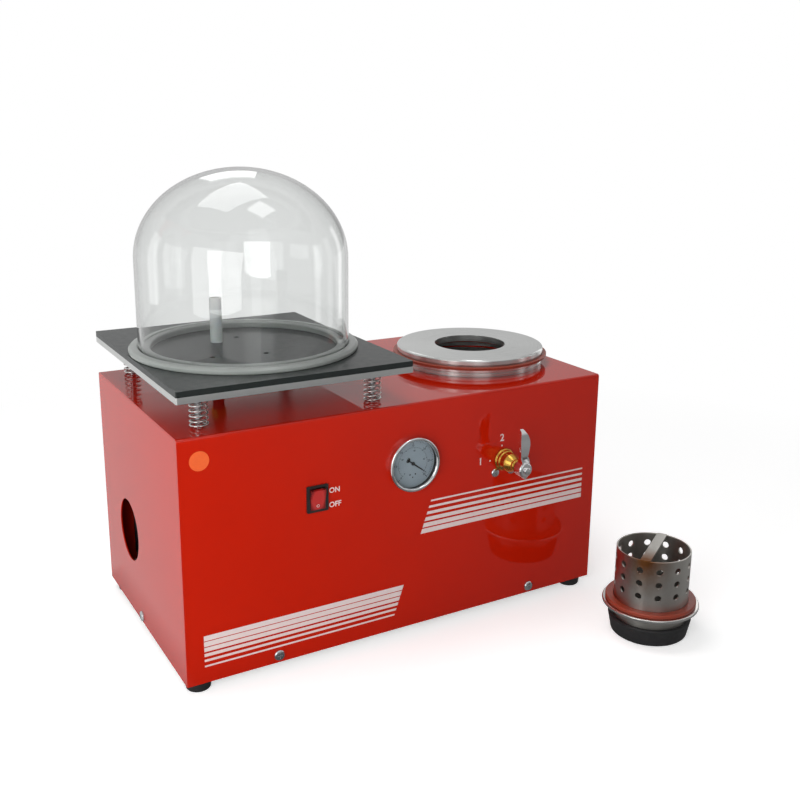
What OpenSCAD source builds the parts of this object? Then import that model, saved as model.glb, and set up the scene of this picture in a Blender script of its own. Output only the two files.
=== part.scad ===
// Tabletop vacuum investing and casting machine with a perforated flask set.
// Every place below is measured from the housing's front left bottom corner:
// +X to the right along the front, +Y to the back, +Z up. The finished parts are
// shifted so that the origin is the middle of the whole footprint, on the bench.

/* [Housing] */
// Width of the sheet metal housing
box_w = 553; // [540:1:600]
// Depth of the housing
box_d = 307; // [300:1:330]
// Height of the housing without its feet
box_h = 279; // [270:1:310]
// Thickness of the housing sheet
sheet_t = 1.6; // [1.2:0.1:2.2]
// Outside radius of the folded edges
fold_r = 3; // [2.5:0.5:6]
// Gap left between sheets that slide together
sheet_gap = 0.2; // [0.1:0.05:0.4]
// Width of the flanges folded inwards round each end panel
end_flange = 10; // [6:0.5:10.5]
// Height of the base pan's upturned rim
pan_rim = 18; // [15:1:24]

/* [Feet] */
// Radius of a rubber foot at its top
foot_r = 15; // [12:0.5:17]
// Height of a foot
foot_h = 12.7; // [11:0.1:20]
// Distance of each foot's middle from the housing's sides
foot_inset = 18; // [18:0.5:30]

/* [Case screws] */
// Shank radius of the case screws
screw_r = 2; // [1.5:0.1:2.5]
// Head radius of the case screws
screw_head_r = 6.2; // [5:0.1:6.5]
// Head height of the case screws
screw_head_h = 3.2; // [2.5:0.1:4]
// Height of the case screws above the housing's lower edge
screw_z = 9; // [8:0.5:11]
// Left case screw on the front
screw_left_x = 106.5; // [60:0.5:140]
// Right case screw on the front
screw_right_x = 453; // [420:0.5:500]
// Case screw on each end, from the front
screw_side_y = 163; // [60:1:240]

/* [Access hole and vents] */
// Radius of the hole in the left end, over the oil window
access_r = 38; // [30:0.5:42]
// Length of a vent slot
vent_l = 46; // [30:1:56]
// Width of a vent slot
vent_w = 5; // [4:0.5:7]
// Distance between vent slots
vent_pitch = 12; // [10:0.5:16]
// Number of vent slots in a group
vent_n = 7; // [3:1:8]

/* [Investment table] */
// Width of the table
table_w = 274; // [270:1:290]
// Depth of the table
table_d = 316; // [306:1:330]
// Middle of the table along the housing's width
table_x = 138; // [136:0.5:150]
// Middle of the table along the housing's depth
table_y = 155; // [150:0.5:160]
// Thickness of the aluminium plate
plate_t = 7; // [6:0.5:10]
// Thickness of the rubber mat
mat_t = 6.5; // [4:0.5:8]
// Height of the springs between the housing and the plate
spring_h = 37.5; // [35:0.5:45]
// Radius of the springs, to the middle of the wire
spring_r = 9.2; // [8:0.1:11]
// Radius of the spring wire
wire_r = 1.2; // [1:0.1:1.4]
// Turns in a spring
spring_turns = 7; // [5:1:8]
// Distance of the springs from the table's left and right edges
spring_inset_x = 34; // [28:0.5:45]
// Distance of the springs from the table's front and back edges
spring_inset_y = 34; // [28:0.5:45]
// Radius of the guide bolts inside the springs
guide_r = 4; // [3:0.1:5]
// How far the table can rise before the guide nuts stop it
table_rise = 2; // [1:0.5:3]

/* [Standpipe] */
// Standpipe, from the housing's left side
pipe_x = 114; // [100:1:150]
// Standpipe, from the housing's front
pipe_y = 190; // [170:1:215]
// Outside radius of the standpipe
pipe_r = 7.2; // [6.5:0.1:8.5]
// Bore radius of the standpipe
pipe_bore_r = 5; // [4.6:0.1:5.4]
// Height of the standpipe above the mat
pipe_h = 54; // [30:1:90]

/* [Bell jar] */
// Outside radius of the bell jar
jar_r = 122; // [116:0.2:124]
// Wall thickness of the bell jar
jar_wall = 4; // [3:0.5:6]
// Height of the jar's straight wall
jar_wall_h = 104; // [96:1:200]
// Height of the dome above the straight wall
dome_h = 102.5; // [70:0.5:119]
// Middle of the jar along the housing's width
jar_x = 134.5; // [134:0.5:140]
// Middle of the jar along the housing's depth
jar_y = 150; // [135:0.5:165]
// Outside radius of the jar's base gasket
boot_r = 133; // [128:0.5:133]
// Inside radius of the jar's base gasket
boot_in_r = 108; // [104:0.5:110]
// Height of the jar's base gasket
boot_h = 7; // [6:0.5:12]
// Thickness of the gasket under the jar's rim
boot_floor = 2; // [1.5:0.5:3]

/* [Casting chamber] */
// Middle of the chamber, from the housing's right end
chamber_from_right = 103; // [102:1:107]
// Middle of the chamber along the housing's depth
chamber_y = 144; // [140:1:160]
// Outside radius of the ring on the housing
ring_r = 96; // [94:0.5:98]
// Height of the ring
ring_h = 10; // [9:0.5:16]
// Inside radius of the ring and of the chamber below it
bore_r = 79; // [70:0.5:79.5]
// Wall thickness of the chamber can
can_wall = 2.5; // [1.5:0.25:2.5]
// Depth of the chamber can below the housing's top
can_depth = 180; // [150:1:188]
// Radius of the can's bolted flange
can_flange_r = 91.5; // [91:0.25:92]
// Thickness of the can's flange
can_flange_t = 4; // [3:0.5:6]
// Radius of the silicone disc on the ring
disc_r = 102; // [97:0.5:104]
// Bore radius of the silicone disc
disc_bore_r = 58; // [50:0.5:70]
// Thickness of the silicone disc
disc_t = 4; // [3:0.5:6]
// Outside radius of the adapter plate
adapter_r = 97; // [90:0.5:98]
// Thickness of the adapter plate
adapter_t = 8.6; // [6:0.2:12]
// Bore radius of the adapter plate, which takes a flask
adapter_bore_r = 46.7; // [45.2:0.1:48]

/* [Flask set] */
// Middle of the flask along the housing's width
flask_x = 541; // [530:1:580]
// Middle of the flask along the housing's depth, in front of the housing
flask_y = -130; // [-170:1:-100]
// Outside radius of the perforated can
flask_r = 44.4; // [43:0.1:44.6]
// Wall thickness of the perforated can
flask_wall = 2; // [1.5:0.25:2.5]
// Height of the can above its gasket
flask_h = 63; // [60:1:90]
// Radius of the flask's flange
flange_r = 58; // [55:0.5:62]
// Thickness of the flange
flange_t = 4; // [3:0.5:6]
// Height of the can's collar below the flange
collar_h = 24; // [20:0.5:26]
// Radius of the silicone gasket round the can
seal_r = 54.3; // [50:0.1:57]
// Thickness of the silicone gasket round the can
seal_t = 5; // [3:0.5:6]
// Radius of one perforation
perf_r = 4; // [2.5:0.1:4.5]
// First row of perforations, below the can's rim
perf_drop = 13; // [9:0.5:16]
// Height between rows of perforations
perf_pitch = 16.5; // [15:0.5:20]
// Width of the bar across the can's end
bar_w = 12; // [8:0.5:16]
// Radius of the rubber sprue base at the bench
base_r = 45.8; // [45:0.2:48]
// Radius of the rubber sprue base at its lip
base_lip_r = 49.8; // [49:0.2:52]
// Height of the rubber sprue base
base_h = 21.5; // [20:0.5:24]

/* [Valve] */
// Valve axis, from the housing's right end
valve_from_right = 146.5; // [145:0.5:149]
// Valve axis, below the housing's top
valve_drop = 89; // [79:1:99]
// Radius of the brass bonnet's flange
bonnet_r = 14; // [13:0.2:14.4]
// How far the lever's hub stands from the panel
hub_out = 41; // [38:0.5:46]
// Radius of the lever's hub
hub_r = 9.6; // [8:0.1:10]
// Radius of the valve's stem
stem_r = 4; // [3:0.1:4.5]
// Radius of the valve's plug
plug_r = 10; // [8:0.5:10.5]
// Greatest width of the lever's arm
arm_w = 13.6; // [10:0.2:15]
// Thickness of the lever's arm
arm_t = 3; // [2:0.25:3.5]

/* [Gauge] */
// Gauge axis, from the housing's right side
gauge_from_right = 275.4; // [263:0.5:283]
// Gauge axis, below the housing's top
gauge_drop = 72.6; // [69:0.2:79]
// Outside radius of the gauge's bezel
bezel_r = 33; // [32:0.5:35]
// How far the bezel stands from the panel
bezel_out = 8; // [7:0.5:10]
// Radius of the gauge's case
gauge_r = 30.5; // [30:0.25:31]
// Depth of the gauge's case behind the panel
gauge_depth = 24; // [20:1:26]
// Length of the pointer from its hub to its tip
pointer_l = 23; // [18:0.5:25]

/* [Switch] */
// Switch middle along the housing's width
switch_x = 155.3; // [140:0.5:170]
// Switch's middle, below the housing's top
switch_drop = 91.8; // [84:0.2:99]
// Width of the switch's bezel
switch_w = 26; // [25:0.5:28]
// Height of the switch's bezel
switch_h = 31; // [30:0.5:34]
// Angle that the rocker turns through
rocker_angle = 20; // [14:1:22]

/* [Power inlet] */
// Inlet's middle, from the housing's right end
inlet_from_right = 53; // [43:1:63]
// Height of the inlet's middle
inlet_z = 55; // [45:1:70]

/* [Pump and motor] */
// Height of the pump's axis
pump_z = 106; // [100:1:110]
// Pump axis, from the housing's front
pump_y = 202; // [200:1:206]
// Gap between the left end and the oil case
case_x = 22; // [14:1:26]
// Length of the oil case
case_l = 88; // [80:1:96]
// Width of the oil case
case_w = 122; // [118:1:124]
// Height of the oil case
case_h = 132; // [124:1:136]
// Radius of the oil window
window_r = 14; // [10:0.5:18]
// Radius of the motor's body
motor_r = 60; // [56:0.5:62]
// Length of the motor's body
motor_l = 118; // [105:1:125]
// Radius of the motor's shaft
shaft_r = 7; // [6:0.25:8]
// Running clearance of every shaft, stem and pivot
run_gap = 0.05; // [0.02:0.01:0.09]

/* [Hoses] */
// Outside radius of the vacuum hoses
hose_r = 7; // [6.5:0.25:7.5]
// Bore radius of the vacuum hoses
hose_bore_r = 4.5; // [4.4:0.1:5]
// Bend radius of the vacuum hoses
hose_bend = 20; // [16:1:20]
// How far behind the panel the pump line runs
line_y = 36; // [36:1:38]
// How far behind the panel the valve's other ports are
way_y = 20; // [18:0.5:20]
// Height of the pump line
line_z = 106; // [102:1:116]
// Radius of the wiring leads
lead_r = 3.5; // [2.5:0.25:4]

/* [Hidden] */
$fn = 96;

slip = 0.1;       // clearance of a fixed piece in its hole
seat_gap = 0.3;   // clearance under a round form that rests on something
eps = 0.01;

red = [0.72, 0.11, 0.06];
steel = [0.74, 0.75, 0.76];
dark = [0.08, 0.08, 0.085];
alu = [0.80, 0.81, 0.82];
brass = [0.76, 0.57, 0.20];
silicone = [0.62, 0.17, 0.08];
grey = [0.42, 0.43, 0.45];

// ---- places worked out from the sizes above ----
bench_z = -foot_h;
chamber_x = box_w - chamber_from_right;
valve_x = box_w - valve_from_right;
valve_z = box_h - valve_drop;
gauge_z = box_h - gauge_drop;
switch_z = box_h - switch_drop;
inlet_x = box_w - inlet_from_right;
gauge_x = box_w - gauge_from_right;
set_x0 = -screw_head_h;
set_x1 = flask_x + flange_r;
set_y0 = flask_y - flange_r;
set_y1 = table_y + table_d / 2;
origin_x = (set_x0 + set_x1) / 2;
origin_y = (set_y0 + set_y1) / 2;

pan_inset = sheet_t + sheet_gap;
top_in = box_h - sheet_t;          // underside of the housing's top
plate_z = box_h + spring_h;        // underside of the table plate
mat_z = plate_z + plate_t;         // underside of the mat
mat_top = mat_z + mat_t;
jar_z = mat_top + boot_floor;      // rim of the jar, in its gasket
disc_z = box_h + ring_h;
adapter_z = disc_z + disc_t;

foot_places = [for (x = [foot_inset, box_w - foot_inset], y = [foot_inset, box_d - foot_inset]) [x, y]];
spring_places = [for (sx = [-1, 1], sy = [-1, 1])
    [table_x + sx * (table_w / 2 - spring_inset_x), table_y + sy * (table_d / 2 - spring_inset_y)]];
ring_bolt_n = 6;
ring_bolt_pcd_r = (bore_r + can_wall + can_flange_r) / 2;
bolt_r = 2.5;
bolt_head_r = 4.2;
bolt_head_h = 3;
valve_screw_dx = 11.8;
valve_screw_dz = 15.7;
valve_screw_head = 5.4;
valve_screw_places = [for (s = [-1, 1]) [valve_x + s * valve_screw_dx, valve_z - valve_screw_dz]];

// ---- helpers ----
module place() translate([-origin_x, -origin_y, foot_h]) children();

// children drawn with +Z pointing out of the front panel, the back panel or an end
module on_front(x, z) translate([x, 0, z]) rotate([90, 0, 0]) children();
module on_back(x, z) translate([x, box_d, z]) rotate([-90, 0, 0]) children();
module on_left(y, z) translate([0, y, z]) rotate([0, -90, 0]) children();
module on_right(y, z) translate([box_w, y, z]) rotate([0, 90, 0]) children();
// children drawn with +Z pointing along +X from a place on the pump's axis
module on_shaft(x) translate([x, pump_y, pump_z]) rotate([0, 90, 0]) children();

// outline of the housing seen from its end: a slab with two rounded upper corners
module arch(w, h, r) {
    square([w, h - r]);
    translate([r, h - r - eps]) square([w - 2 * r, r + eps]);
    for (x = [r, w - r]) translate([x, h - r]) circle(r);
}

module round_rect(w, h, r) {
    square([w, h - 2 * r], center = true);
    square([w - 2 * r, h], center = true);
    for (x = [-1, 1], y = [-1, 1]) translate([x * (w / 2 - r), y * (h / 2 - r)]) circle(r);
}

module slot(l, w) {
    square([l - w, w], center = true);
    for (s = [-1, 1]) translate([s * (l - w) / 2, 0]) circle(w / 2);
}

module tube(r_out, r_in, h) difference() {
    cylinder(r = r_out, h = h);
    translate([0, 0, -1]) cylinder(r = r_in, h = h + 2);
}

module hex(r, h) cylinder(r = r, h = h, $fn = 6);

// hose nipple: two barbs on a neck, seated at z = 0 and pointing along +Z
nipple_l = 14;
nipple_r = hose_bore_r - 0.15;
nipple_bore = 2.4;
module nipple() {
    cylinder(r = nipple_r - 0.7, h = nipple_l);
    for (z = [4, 9]) translate([0, 0, z]) cylinder(r1 = nipple_r, r2 = nipple_r - 0.7, h = 4);
}

// a run of hose or lead through corners joined along the axes, with quarter bends
function unit(v) = v / norm(v);
function side_of(d) = abs(d.z) > 0.5 ? [1, 0, 0] : [0, 0, 1];
module along(p, d, e1) {
    e2 = cross(d, e1);
    multmatrix([[e1.x, e2.x, d.x, p.x], [e1.y, e2.y, d.y, p.y], [e1.z, e2.z, d.z, p.z], [0, 0, 0, 1]])
        children();
}
module ring_face(r_out, r_in) {
    difference() {
        circle(r_out);
        if (r_in > 0) circle(r_in);
    }
}
module run(pts, r_out, r_in, bend) {
    last = len(pts) - 1;
    for (i = [0 : last - 1]) {
        d = unit(pts[i + 1] - pts[i]);
        a = pts[i] + d * (i == 0 ? 0 : bend);
        b = pts[i + 1] - d * (i == last - 1 ? 0 : bend);
        along(a, d, side_of(d)) linear_extrude(norm(b - a)) ring_face(r_out, r_in);
    }
    for (i = [1 : 1 : last - 1]) {
        d_in = unit(pts[i] - pts[i - 1]);
        d_out = unit(pts[i + 1] - pts[i]);
        middle = pts[i] - d_in * bend + d_out * bend;
        along(middle, cross(-d_out, d_in), -d_out)
            rotate_extrude(angle = 90) translate([bend, 0]) ring_face(r_out, r_in);
    }
}

// pan head screw with a cross recess, head out along +Z from z = 0
module pan_screw(head_r, head_h, l) difference() {
    union() {
        rotate_extrude() polygon([[0, 0], [head_r, 0], [head_r, head_h * 0.45],
            [head_r * 0.86, head_h * 0.8], [head_r * 0.55, head_h], [0, head_h]]);
        translate([0, 0, -l]) cylinder(r = screw_r, h = l + eps);
    }
    for (a = [0, 90]) rotate(a) translate([0, 0, head_h])
        cube([head_r * 1.05, head_r * 0.21, head_h], center = true);
}
module case_screw(l) pan_screw(screw_head_r, screw_head_h, l);

// ================= housing =================
vent_group_w = (vent_n - 1) * vent_pitch;
vent_x = case_x + case_l + motor_l + 40;
standpipe_hole_r = 6.4;             // hole in the housing's top for the table's vacuum fitting

module vent_slots() for (i = [0 : vent_n - 1])
    translate([i * vent_pitch - vent_group_w / 2, 0]) rotate(90) slot(vent_l, vent_w);

module cover() place() color(red) difference() {
    rotate([90, 0, 90]) linear_extrude(box_w) difference() {
        arch(box_d, box_h, fold_r);
        translate([sheet_t, -1]) arch(box_d - 2 * sheet_t, top_in + 1, fold_r - sheet_t);
    }
    // front: gauge, switch, valve and its screws, case screws
    on_front(gauge_x, gauge_z) translate([0, 0, -5]) cylinder(r = gauge_r + slip, h = 10);
    on_front(switch_x, switch_z) translate([0, 0, -5]) linear_extrude(10)
        square([switch_body_w + 2 * slip, switch_body_h + 2 * slip], center = true);
    on_front(valve_x, valve_z) translate([0, 0, -5]) cylinder(r = bonnet_neck_r + slip, h = 10);
    for (p = valve_screw_places) on_front(p.x, p.y)
        translate([0, 0, -5]) cylinder(r = screw_r + slip, h = 10);
    for (x = [screw_left_x, screw_right_x]) {
        on_front(x, screw_z) translate([0, 0, -5]) cylinder(r = screw_r + slip, h = 10);
        on_back(x, screw_z) translate([0, 0, -5]) cylinder(r = screw_r + slip, h = 10);
    }
    // top: chamber, its bolts, table guides and the table's vacuum fitting
    translate([chamber_x, chamber_y, top_in - 1]) {
        cylinder(r = bore_r, h = sheet_t + 2);
        for (i = [0 : ring_bolt_n - 1]) rotate(i * 360 / ring_bolt_n)
            translate([ring_bolt_pcd_r, 0, 0]) cylinder(r = bolt_r + slip, h = sheet_t + 2);
    }
    for (p = spring_places) translate([p.x, p.y, top_in - 1]) cylinder(r = guide_r + 0.5, h = sheet_t + 2);
    translate([pipe_x, pipe_y, top_in - 1]) cylinder(r = standpipe_hole_r, h = sheet_t + 2);
    // back: inlet and vents beside the motor's fan
    on_back(inlet_x, inlet_z) translate([0, 0, -5]) linear_extrude(10)
        square([inlet_body_w + 2 * slip, inlet_body_h + 2 * slip], center = true);
    on_back(vent_x, pump_z) translate([0, 0, -5]) linear_extrude(10) vent_slots();
}

// flat end with a flange folded in along its front, top and back, above the pan's rim
module end_panel() difference() {
    union() {
        linear_extrude(sheet_t) translate([pan_inset, 0])
            arch(box_d - 2 * pan_inset, top_in - sheet_gap, fold_r - sheet_t);
        linear_extrude(end_flange) difference() {
            translate([pan_inset, pan_rim + 2])
                arch(box_d - 2 * pan_inset, top_in - sheet_gap - pan_rim - 2, fold_r - sheet_t);
            translate([pan_inset + sheet_t, 0])
                square([box_d - 2 * pan_inset - 2 * sheet_t, top_in - sheet_gap - sheet_t]);
        }
    }
    translate([screw_side_y, screw_z, -5]) cylinder(r = screw_r + slip, h = 20);
}

module left_end_panel() place() color(red) difference() {
    rotate([90, 0, 90]) end_panel();
    on_left(pump_y, pump_z) translate([0, 0, -5]) cylinder(r = access_r, h = 10);
}

module right_end_panel() place() color(red)
    translate([box_w, 0, 0]) mirror([1, 0, 0]) rotate([90, 0, 90]) end_panel();

mount_foot_y = motor_r - 14;        // pump feet, from the pump's axis
mount_xs = [case_x + case_l + 6, case_x + case_l + motor_l + 3];
mount_places = [for (x = mount_xs, s = [-1, 1]) [x, pump_y + s * mount_foot_y]];

module base_pan() place() color(grey) {
    pan_w = box_w - 2 * pan_inset;
    pan_d = box_d - 2 * pan_inset;
    relief = 4;
    difference() {
        translate([pan_inset, pan_inset, 0]) cube([pan_w, pan_d, pan_rim]);
        translate([pan_inset + sheet_t, pan_inset + sheet_t, sheet_t])
            cube([pan_w - 2 * sheet_t, pan_d - 2 * sheet_t, pan_rim]);
        for (x = [pan_inset, box_w - pan_inset], y = [pan_inset, box_d - pan_inset])
            translate([x, y, pan_rim / 2]) cube([2 * relief, 2 * relief, pan_rim + 2], center = true);
        for (p = foot_places) translate([p.x, p.y, -1]) cylinder(r = bolt_r + slip, h = 10);
        for (p = mount_places) translate([p.x, p.y, -1]) cylinder(r = bolt_r + slip, h = 10);
        for (x = [screw_left_x, screw_right_x]) {
            on_front(x, screw_z) translate([0, 0, -10]) cylinder(r = screw_r + slip, h = 12);
            on_back(x, screw_z) translate([0, 0, -10]) cylinder(r = screw_r + slip, h = 12);
        }
        on_left(screw_side_y, screw_z) translate([0, 0, -10]) cylinder(r = screw_r + slip, h = 12);
        on_right(screw_side_y, screw_z) translate([0, 0, -10]) cylinder(r = screw_r + slip, h = 12);
        translate([(mount_xs[0] + mount_xs[1]) / 2, pump_y, -1]) linear_extrude(10) vent_slots();
    }
}

foot_screw_z = 5;                   // height of the screw's seat inside a foot
module feet() place() color(dark) for (p = foot_places) translate([p.x, p.y, bench_z])
    rotate_extrude() polygon([
        [bolt_head_r + 1, 0], [foot_r - 2.4, 0], [foot_r - 1.4, 1.2], [foot_r, foot_h - 1],
        [foot_r - 0.6, foot_h],
        [bolt_r + slip, foot_h], [bolt_r + slip, foot_screw_z], [bolt_head_r + 1, foot_screw_z]]);

module foot_screws() place() color(steel) for (p = foot_places) translate([p.x, p.y, 0]) {
    translate([0, 0, bench_z + foot_screw_z - bolt_head_h]) cylinder(r = bolt_head_r, h = bolt_head_h);
    translate([0, 0, bench_z + foot_screw_z - eps])
        cylinder(r = bolt_r, h = foot_h - foot_screw_z + sheet_t + 6);
    translate([0, 0, sheet_t]) difference() {
        hex(4.6, 4);
        translate([0, 0, -1]) cylinder(r = bolt_r + 0.02, h = 6);
    }
}

module case_screws() place() color(steel) {
    for (x = [screw_left_x, screw_right_x]) {
        on_front(x, screw_z) case_screw(10);
        on_back(x, screw_z) case_screw(10);
    }
    on_left(screw_side_y, screw_z) case_screw(10);
    on_right(screw_side_y, screw_z) case_screw(10);
}

// ================= casting chamber =================
module chamber_ring() place() color(alu) translate([chamber_x, chamber_y, box_h]) difference() {
    rotate_extrude() polygon([[bore_r, 0], [ring_r, 0], [ring_r, ring_h * 0.42],
        [ring_r - 0.7, ring_h * 0.47], [ring_r - 0.7, ring_h * 0.54],
        [ring_r, ring_h * 0.59], [ring_r, ring_h - 1], [ring_r - 1, ring_h],
        [bore_r + 0.8, ring_h], [bore_r, ring_h - 0.8]]);
    for (i = [0 : ring_bolt_n - 1]) rotate(i * 360 / ring_bolt_n)
        translate([ring_bolt_pcd_r, 0, -1]) cylinder(r = bolt_r + slip, h = ring_h - 2);
}

can_floor_z = top_in - can_depth;
port_x = chamber_x + 12;            // vacuum port in the chamber's floor
port_r = 6;
module chamber_can() place() color(steel) difference() {
    translate([chamber_x, chamber_y, can_floor_z]) rotate_extrude() polygon([
        [0, 0], [bore_r + can_wall - 6, 0], [bore_r + can_wall, 6],
        [bore_r + can_wall, can_depth - can_flange_t],
        [can_flange_r, can_depth - can_flange_t], [can_flange_r, can_depth], [bore_r, can_depth],
        [bore_r, 8], [bore_r - 5, can_wall], [0, can_wall]]);
    for (i = [0 : ring_bolt_n - 1]) translate([chamber_x, chamber_y, top_in]) rotate(i * 360 / ring_bolt_n)
        translate([ring_bolt_pcd_r, 0, -can_flange_t - 1]) cylinder(r = bolt_r + slip, h = can_flange_t + 2);
    translate([port_x, chamber_y, can_floor_z - 1]) cylinder(r = port_r + slip, h = can_wall + 2);
}

module inner_bolts() place() color(steel) {
    // chamber flange bolts, up through the housing's top into the ring
    for (i = [0 : ring_bolt_n - 1]) translate([chamber_x, chamber_y, top_in - can_flange_t])
        rotate(i * 360 / ring_bolt_n) translate([ring_bolt_pcd_r, 0, 0]) {
            translate([0, 0, -bolt_head_h]) cylinder(r = bolt_head_r, h = bolt_head_h);
            translate([0, 0, -eps]) cylinder(r = bolt_r, h = can_flange_t + sheet_t + ring_h - 4);
        }
    // pump mounting bolts, down through the foot, the pad and the pan, with their nuts
    for (p = mount_places) translate([p.x, p.y, 0]) {
        translate([0, 0, pad_top + mount_foot_t]) cylinder(r = bolt_head_r, h = bolt_head_h);
        translate([0, 0, -5]) cylinder(r = bolt_r, h = pad_top + mount_foot_t + 5 + eps);
        translate([0, 0, -4]) difference() {
            hex(4.6, 4);
            translate([0, 0, -1]) cylinder(r = bolt_r + 0.02, h = 6);
        }
    }
}

module chamber_gasket() place() color(silicone) translate([chamber_x, chamber_y, disc_z])
    rotate_extrude() polygon([[disc_bore_r, 0], [disc_r - 0.8, 0], [disc_r, 0.6], [disc_r, disc_t * 0.42],
        [disc_r - 0.9, disc_t * 0.5], [disc_r, disc_t * 0.58], [disc_r, disc_t - 0.6], [disc_r - 0.8, disc_t],
        [disc_bore_r, disc_t]]);

module adapter_plate() place() color(alu) translate([chamber_x, chamber_y, adapter_z])
    rotate_extrude() polygon([[adapter_bore_r, 0], [adapter_r - 1.4, 0], [adapter_r - 1.4, 1.2],
        [adapter_r, 1.6], [adapter_r, adapter_t - 2.2], [adapter_r - 0.7, adapter_t - 1],
        [adapter_r - 2.2, adapter_t],
        [adapter_bore_r, adapter_t]]);

// ================= investment table =================
// screw recesses in the mat, placed from the standpipe
recess_places = [[pipe_x + 30, pipe_y + 12], [pipe_x + 30, pipe_y - 81], [pipe_x - 31, pipe_y - 72]];
recess_r = 3.4;

module table_plate() place() color(alu) translate([table_x, table_y, plate_z]) difference() {
    linear_extrude(plate_t) round_rect(table_w, table_d, 1.5);
    for (p = spring_places) translate([p.x - table_x, p.y - table_y, 0]) {
        translate([0, 0, -1]) cylinder(r = guide_r + slip, h = plate_t + 2);
        translate([0, 0, plate_t - guide_r])
            cylinder(r1 = guide_r + slip, r2 = 2 * guide_r + slip, h = guide_r + eps);
    }
    translate([pipe_x - table_x, pipe_y - table_y, -1]) cylinder(r = pipe_r + slip, h = plate_t + 2);
    for (p = recess_places) translate([p.x - table_x, p.y - table_y, plate_t - 4])
        cylinder(r = recess_r - 1, h = 5);
}

module table_mat() place() color(dark) translate([table_x, table_y, mat_z]) difference() {
    linear_extrude(mat_t) round_rect(table_w, table_d, 1.5);
    translate([pipe_x - table_x, pipe_y - table_y, -1]) cylinder(r = pipe_r + slip, h = mat_t + 2);
    for (p = recess_places) translate([p.x - table_x, p.y - table_y, -1])
        cylinder(r = recess_r, h = mat_t + 2);
}

guide_tail = 14;                    // length of each guide bolt below the housing's top
module table_bolts() place() color(steel) for (p = spring_places) translate([p.x, p.y, 0]) {
    nut_h = 6;
    translate([0, 0, mat_z - guide_r]) cylinder(r1 = guide_r, r2 = 2 * guide_r, h = guide_r);
    translate([0, 0, top_in - guide_tail])
        cylinder(r = guide_r, h = mat_z - guide_r - top_in + guide_tail + eps);
    translate([0, 0, top_in - table_rise - seat_gap - nut_h]) difference() {
        hex(guide_r * 1.9, nut_h);
        translate([0, 0, -1]) cylinder(r = guide_r + 0.02, h = nut_h + 2);
    }
}

module standpipe() place() color([0.88, 0.89, 0.88]) translate([pipe_x, pipe_y, plate_z])
    rotate_extrude() polygon([[pipe_bore_r, 0], [pipe_r, 0], [pipe_r, plate_t + mat_t + pipe_h - 0.8],
        [pipe_r - 0.8, plate_t + mat_t + pipe_h], [pipe_bore_r, plate_t + mat_t + pipe_h]]);

barb_collar_h = 5;
module table_barb() place() color(brass) translate([pipe_x, pipe_y, plate_z]) difference() {
    union() {
        translate([0, 0, -barb_collar_h]) hex(10, barb_collar_h);
        translate([0, 0, -eps]) cylinder(r = pipe_bore_r - slip, h = 7);
        translate([0, 0, -barb_collar_h + eps]) mirror([0, 0, 1]) scale_nipple(link_l);
    }
    translate([0, 0, -barb_collar_h - nipple_l]) cylinder(r = nipple_bore, h = 40);
}

// a shorter nipple for the link between the housing and the table
link_l = 9;
module scale_nipple(l) {
    cylinder(r = nipple_r - 0.7, h = l);
    for (z = [3]) translate([0, 0, z]) cylinder(r1 = nipple_r, r2 = nipple_r - 0.7, h = 4);
}

link_flange_h = 3;
module table_hose() place() color(dark)
    translate([pipe_x, pipe_y, box_h + link_flange_h])
        tube(hose_r, hose_bore_r, spring_h - link_flange_h - barb_collar_h);

// ---- springs: one tube swept round a helix with closed end turns ----
rings_per_turn = 8;
wire_sides = 6;
spring_free = spring_h - 2 * seat_gap;
end_pitch = 2 * wire_r + 0.6;
mid_pitch = (spring_free - 2 * wire_r - 2 * end_pitch) / (spring_turns - 2);
spring_rings = spring_turns * rings_per_turn;
function coil_z(t) = wire_r + (t < 1 ? end_pitch * t
    : t < spring_turns - 1 ? end_pitch + mid_pitch * (t - 1)
    : end_pitch + mid_pitch * (spring_turns - 2) + end_pitch * (t - spring_turns + 1));
function coil_point(i) = let (t = i / rings_per_turn)
    [spring_r * cos(360 * t), spring_r * sin(360 * t), coil_z(t)];
spring_gap = min([for (i = [0 : spring_rings - rings_per_turn])
    norm(coil_point(i + rings_per_turn) - coil_point(i))]) - 2 * wire_r;
echo(spring_least_gap = spring_gap);

module coil_spring() {
    points = [for (i = [0 : spring_rings], k = [0 : wire_sides - 1])
        let (c = coil_point(i), a = 360 * i / rings_per_turn, b = 360 * k / wire_sides)
        c + wire_r * [cos(b) * cos(a), cos(b) * sin(a), sin(b)]];
    n = wire_sides;
    walls = [for (i = [0 : spring_rings - 1], k = [0 : n - 1])
        let (p = i * n + k, q = i * n + (k + 1) % n) each [[p, q, q + n], [p, q + n, p + n]]];
    first = [for (k = [1 : n - 2]) [0, k + 1, k]];
    base = spring_rings * n;
    last = [for (k = [1 : n - 2]) [base, base + k, base + k + 1]];
    polyhedron(points, concat(walls, first, last));
}

module table_springs() place() color(steel)
    for (p = spring_places) translate([p.x, p.y, box_h + seat_gap]) coil_spring();

// ================= bell jar =================
dome_steps = 22;
function dome_line(r, h, z) = [for (i = [0 : dome_steps])
    let (a = 90 * i / dome_steps) [r * cos(a), z + h * sin(a)]];
module bell_jar() place() color([0.86, 0.90, 0.90, 0.35]) translate([jar_x, jar_y, jar_z])
    rotate_extrude() polygon(concat(
        [[jar_r, 0]], dome_line(jar_r, dome_h, jar_wall_h),
        [for (i = [dome_steps : -1 : 0])
            let (a = 90 * i / dome_steps)
            [(jar_r - jar_wall) * cos(a), jar_wall_h + (dome_h - jar_wall) * sin(a)]],
        [[jar_r - jar_wall, 0]]));

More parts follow.
